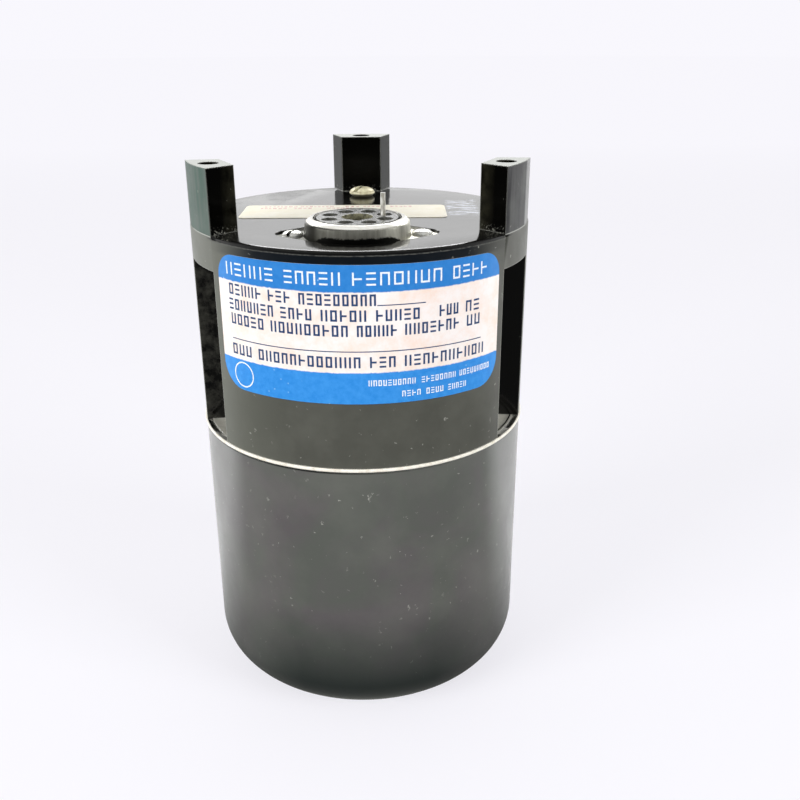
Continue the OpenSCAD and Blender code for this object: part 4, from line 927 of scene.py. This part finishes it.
# Contact block: a brown phenolic block under the plate that holds the two fixed
# contacts in slots.
brown_block = blank("brown_phenolic", (0.16, 0.08, 0.04), 0.4)
where = place_of(brown_block)
into("Base Color", mottled(where, 0.5, 0.35, 0.7, (0.13, 0.06, 0.03), (0.26, 0.14, 0.07)))
grain(noise(where, 1.2, 4), 0.02)
dressed("contact_block", "block_phenolic", 0.25, brown_block)

# Circuit board: a round disc of tan paper laminate, drilled for its parts, whose
# fibres show as faint streaks.
laminate = blank("tan_laminate", (0.40, 0.25, 0.09), 0.42)
where = place_of(laminate)
fibres = noise(place_of(laminate, scale=(0.15, 1, 1)), 1.2, 5)
into("Base Color", blend(fade(fibres, 0.3, 0.7), (0.46, 0.30, 0.12), (0.33, 0.19, 0.06)))
gloss(where, 0.3, 5, 0.32, 0.5)
grain(fibres, 0.02)
dressed("circuit_board", "board_laminate", 0.15, laminate)

# Smoothing capacitor: an aluminium can in a shrunk blue sleeve that leaves its
# top bare, with a paler stripe down one side.
sleeve = blank("blue_sleeve", (0.05, 0.12, 0.34), 0.28)
where = place_of(sleeve, centre=(-22, 19, 0))
spot = axes(where)
bare = fade(spot[2], 43.2, 43.25)
stripe = both(fade(spot[1], -6.9, -7.1), fade(either_side(spot[0]), 2.2, 2.0))
into("Base Color", blend(bare, blend(stripe, (0.04, 0.10, 0.32), (0.60, 0.64, 0.70)), (0.70, 0.70, 0.70)))
grain(noise(where, 0.6, 4), 0.03)
frame["nodes"]["smoothing_capacitor"].data.materials[0] = sleeve

# Film capacitors: two wound blocks dipped in orange resin, with soft corners
# and a slightly wavy skin.
dipped = blank("orange_dip", (0.55, 0.20, 0.03), 0.24)
where = place_of(dipped)
into("Base Color", blend(noise(where, 0.25, 5), (0.64, 0.26, 0.04), (0.44, 0.13, 0.02)))
grain(noise(where, 0.35, 3), 0.25)
dressed("film_capacitors", "dipped_film", 0.5, dipped)

# Resistors: brown moulded carbon rods, each with four colour bands, lying on
# the board with both wires bent down.
rod = blank("carbon_rod", (0.40, 0.26, 0.13), 0.5)
where = place_of(rod)
spot = axes(where)
along = sums("WRAP", sums("ADD", spot[0], 14.0), 16.0)
banded = add(rod.node_tree, "ValToRGB", {0: fade(along, -4.6, 4.6)})
banded.color_ramp.interpolation = "CONSTANT"
brown, yellow, violet = (0.34, 0.20, 0.10), (0.45, 0.28, 0.02), (0.20, 0.03, 0.25)
red, gold = (0.55, 0.10, 0.02), (0.62, 0.45, 0.12)
stops = (0.001, 0.16, 0.24, 0.32, 0.40, 0.48, 0.56, 0.74, 0.82)
for at, colour in zip(stops, (brown, yellow, brown, violet, brown, red, brown, gold, brown)):
    banded.color_ramp.elements.new(at).color = (*colour, 1)
into("Base Color", banded.outputs[0])
grain(noise(where, 1.5, 4), 0.03)
frame["nodes"]["resistors"].data.materials[0] = rod

# Diodes: small black moulded rods that lie along the board, with a pale ring at
# one end.
black_rod = blank("diode_rod", (0.02, 0.02, 0.02), 0.3)
where = place_of(black_rod)
spot = axes(where)
along = sums("PINGPONG", sums("ADD", spot[0], 4.0), 12.0)
ring = both(fade(along, 1.2, 1.25), fade(along, 2.05, 2.0))
into("Base Color", blend(ring, (0.02, 0.02, 0.02), (0.65, 0.65, 0.62)))
grain(noise(where, 1.5, 4), 0.02)
frame["nodes"]["diodes"].data.materials[0] = black_rod

# Transistors: three small nickel-plated cans with a rolled flange, slightly
# clouded.
can_nickel = blank("can_nickel", (0.62, 0.62, 0.59), 0.25, 1.0)
where = place_of(can_nickel)
into("Base Color", blend(noise(where, 0.6, 5), (0.72, 0.72, 0.69), (0.46, 0.45, 0.41)))
gloss(where, 1.3, 4, 0.16, 0.36)
dressed("transistors", "can_metal", 0.2, can_nickel)

# Trimmer: a square blue moulding on the board, with a slotted metal disc on top
# that sets the level.
trimmer_blue = blank("trimmer_blue", (0.03, 0.09, 0.36), 0.35)
where = place_of(trimmer_blue)
into("Base Color", blend(noise(where, 0.5, 5), (0.03, 0.10, 0.42), (0.02, 0.05, 0.22)))
grain(noise(where, 1.5, 4), 0.02)
dressed("trimmer", "trimmer_body", 0.2, trimmer_blue)
dressed("trimmer_screw", "trimmer_disc", 0.1, zinc)

# Wires: eight plastic-covered hook-up wires of different colours. Each drops
# from its socket tail, passes the grommet in a bundle and spreads to the board.
wire_hole, wire_r, tail_ring, bundle_r = (-0.9, -29.9), 0.85, 8.725, 3.6
wire_colours = [
    (0.50, 0.03, 0.02), (0.02, 0.02, 0.02), (0.62, 0.60, 0.55), (0.03, 0.12, 0.45), (0.05, 0.28, 0.07),
    (0.65, 0.45, 0.03), (0.25, 0.09, 0.03), (0.35, 0.35, 0.34),
]


def smooth_run(points, steps):
    """The same soft curve through the points as the part's wires take."""
    run = []
    for i in range(len(points) - 1):
        a, b, c, d = (Vector(points[min(max(j, 0), len(points) - 1)]) for j in (i - 1, i, i + 1, i + 2))
        for k in range(steps):
            t = k / steps
            bend, twist = 2 * a - 5 * b + 4 * c - d, 3 * b - a - 3 * c + d
            run.append(0.5 * (2 * b + (c - a) * t + bend * t * t + twist * t * t * t))
    return run + [Vector(points[-1])]


for i, colour in enumerate(wire_colours):
    cover = blank("wire_cover_%d" % (i + 1), colour, 0.42)
    where = place_of(cover)
    into("Base Color", blend(noise(where, 0.3, 5), colour, tuple(c * 0.7 + 0.01 for c in colour)))
    grain(noise(where, 1.0, 3), 0.02)
    angle = math.radians(45 * (i + 0.5))
    out = Vector((math.cos(angle), math.sin(angle), 0))
    top = Vector((socket_x, socket_y, 0)) + out * tail_ring
    bundle = Vector((*wire_hole, 0)) + out * bundle_r
    to = Vector((wire_hole[0] + 10.5 * math.cos(angle), wire_hole[1] - 8 + 3 * math.sin(angle), 0))
    up = Vector((0, 0, 1))
    upper = [top + up * 144.4, top + up * 136.4, bundle + up * 114.7, bundle + up * 96.7, bundle + up * 81.1]
    lower = [bundle + up * 81.0, bundle + up * 67.1, to + up * 35.1, to + up * 19.3]
    stands_for = ("socket_wires", "board_wires") if i == 0 else ()
    run = smooth_run(upper, 8) + smooth_run(lower, 10)
    tube("hook_up_wire_%d" % (i + 1), run, wire_r, "unit", "wire_cover", cover, stands_for=stands_for)

# Studio: a pale floor, a soft sky that is brighter behind and above the part
# than in front of it, and the photograph's camera.
pale = (0.945, 0.935, 0.985)
floor_paint = blank("pale_floor", (0.5, 0.5, 0.51), 0.6, specular=0.1)
floor_tree = floor_paint.node_tree
glow = add(floor_tree, "Emission", {"Color": (*pale, 1), "Strength": 1.0})
seen = add(floor_tree, "LightPath").outputs["Is Camera Ray"]
floor_depth = axes(place_of(floor_paint))[1]
# Painted shadow: for all but camera rays the floor is dark in front of the part and pale behind it.
floor_bounce_with_painted_shadow = blend(fade(floor_depth, -20, 50), (0.05, 0.05, 0.053), (0.90, 0.90, 0.92))
into("Base Color", blend(seen, floor_bounce_with_painted_shadow, (0.92, 0.91, 0.95)))
share = both(seen, fade(floor_depth, 100, 1500, 0.72, 0.98))
paint = floor_tree.nodes["Principled BSDF"].outputs[0]
mixed = add(floor_tree, "MixShader", {0: share, 1: paint, 2: glow.outputs[0]})
floor_tree.links.new(mixed.outputs[0], floor_tree.nodes["Material Output"].inputs["Surface"])
bm = bmesh.new()
bmesh.ops.create_circle(bm, cap_ends=True, radius=7, segments=96)
mesh = bpy.data.meshes.new("floor")
bm.to_mesh(mesh)
bm.free()
mesh.materials.append(floor_paint)
floor = bpy.data.objects.new("floor", mesh)
bpy.context.scene.collection.objects.link(floor)

world = bpy.data.worlds.new("soft_sky")
bpy.context.scene.world = world
world.use_nodes = True
sky = world.node_tree
for old in list(sky.nodes):
    sky.nodes.remove(old)

way = axes(add(sky, "TexCoord").outputs["Generated"])
near_side, low = fade(way[1], 0.1, -0.5), fade(way[2], 0.75, 0.40, 0.0, 0.985)
behind, overhead = fade(way[2], 0.17, 0.24, 1.2, 1.7), fade(way[2], 0.38, 0.55, 1.0, 0.22)
lit = sums("MULTIPLY", behind, overhead)
level = fade(sums("MULTIPLY", near_side, low), 0.0, 1.0, lit, 0.03)
soft = add(sky, "Background", {"Color": (1.0, 1.0, 1.0, 1), "Strength": level})
plain = add(sky, "Background", {"Color": (*pale, 1), "Strength": 1.0})
camera_ray = add(sky, "LightPath").outputs["Is Camera Ray"]
either = add(sky, "MixShader", {0: camera_ray, 1: soft.outputs[0], 2: plain.outputs[0]})
add(sky, "OutputWorld", {"Surface": either.outputs[0]})


def soft_box(name, at, aim, wide, deep, power):
    """A flat lamp with a soft edge, turned to face a point."""
    lamp = bpy.data.lights.new(name, "AREA")
    lamp.shape = "RECTANGLE"
    lamp.size, lamp.size_y = wide, deep
    lamp.energy = power
    made = bpy.data.objects.new(name, lamp)
    made.location = at
    made.rotation_euler = (Vector(aim) - Vector(at)).to_track_quat("-Z", "Y").to_euler()
    bpy.context.scene.collection.objects.link(made)
    return made


soft_box("lamp_left", (-1.2, -0.8, 0.50), (0, 0, 0.1), 0.7, 0.7, 25).visible_glossy = False
soft_box("lamp_right", (1.2, -0.8, 0.50), (0, 0, 0.1), 0.7, 0.7, 21).visible_glossy = False
soft_box("edge_light", (0, 0.85, 0.85), (0, 0, 0.16), 1.6, 0.4, 20).visible_diffuse = False

right = Vector((0.99903, -0.04388, -0.00325))
up = Vector((0.01957, 0.37708, 0.92598))
forward = Vector((0.03941, 0.92514, -0.37757))
lens = bpy.data.cameras.new("camera")
lens.sensor_width = 36
lens.lens = 41.44
lens.clip_start, lens.clip_end = 0.01, 50
camera = bpy.data.objects.new("camera", lens)
aimed = Matrix((right, up, -forward)).transposed().to_4x4()
camera.matrix_world = Matrix.Translation((-0.000084, -0.299073, 0.215203)) @ aimed
bpy.context.scene.collection.objects.link(camera)
bpy.context.scene.camera = camera
bpy.context.scene.view_settings.view_transform = "Standard"
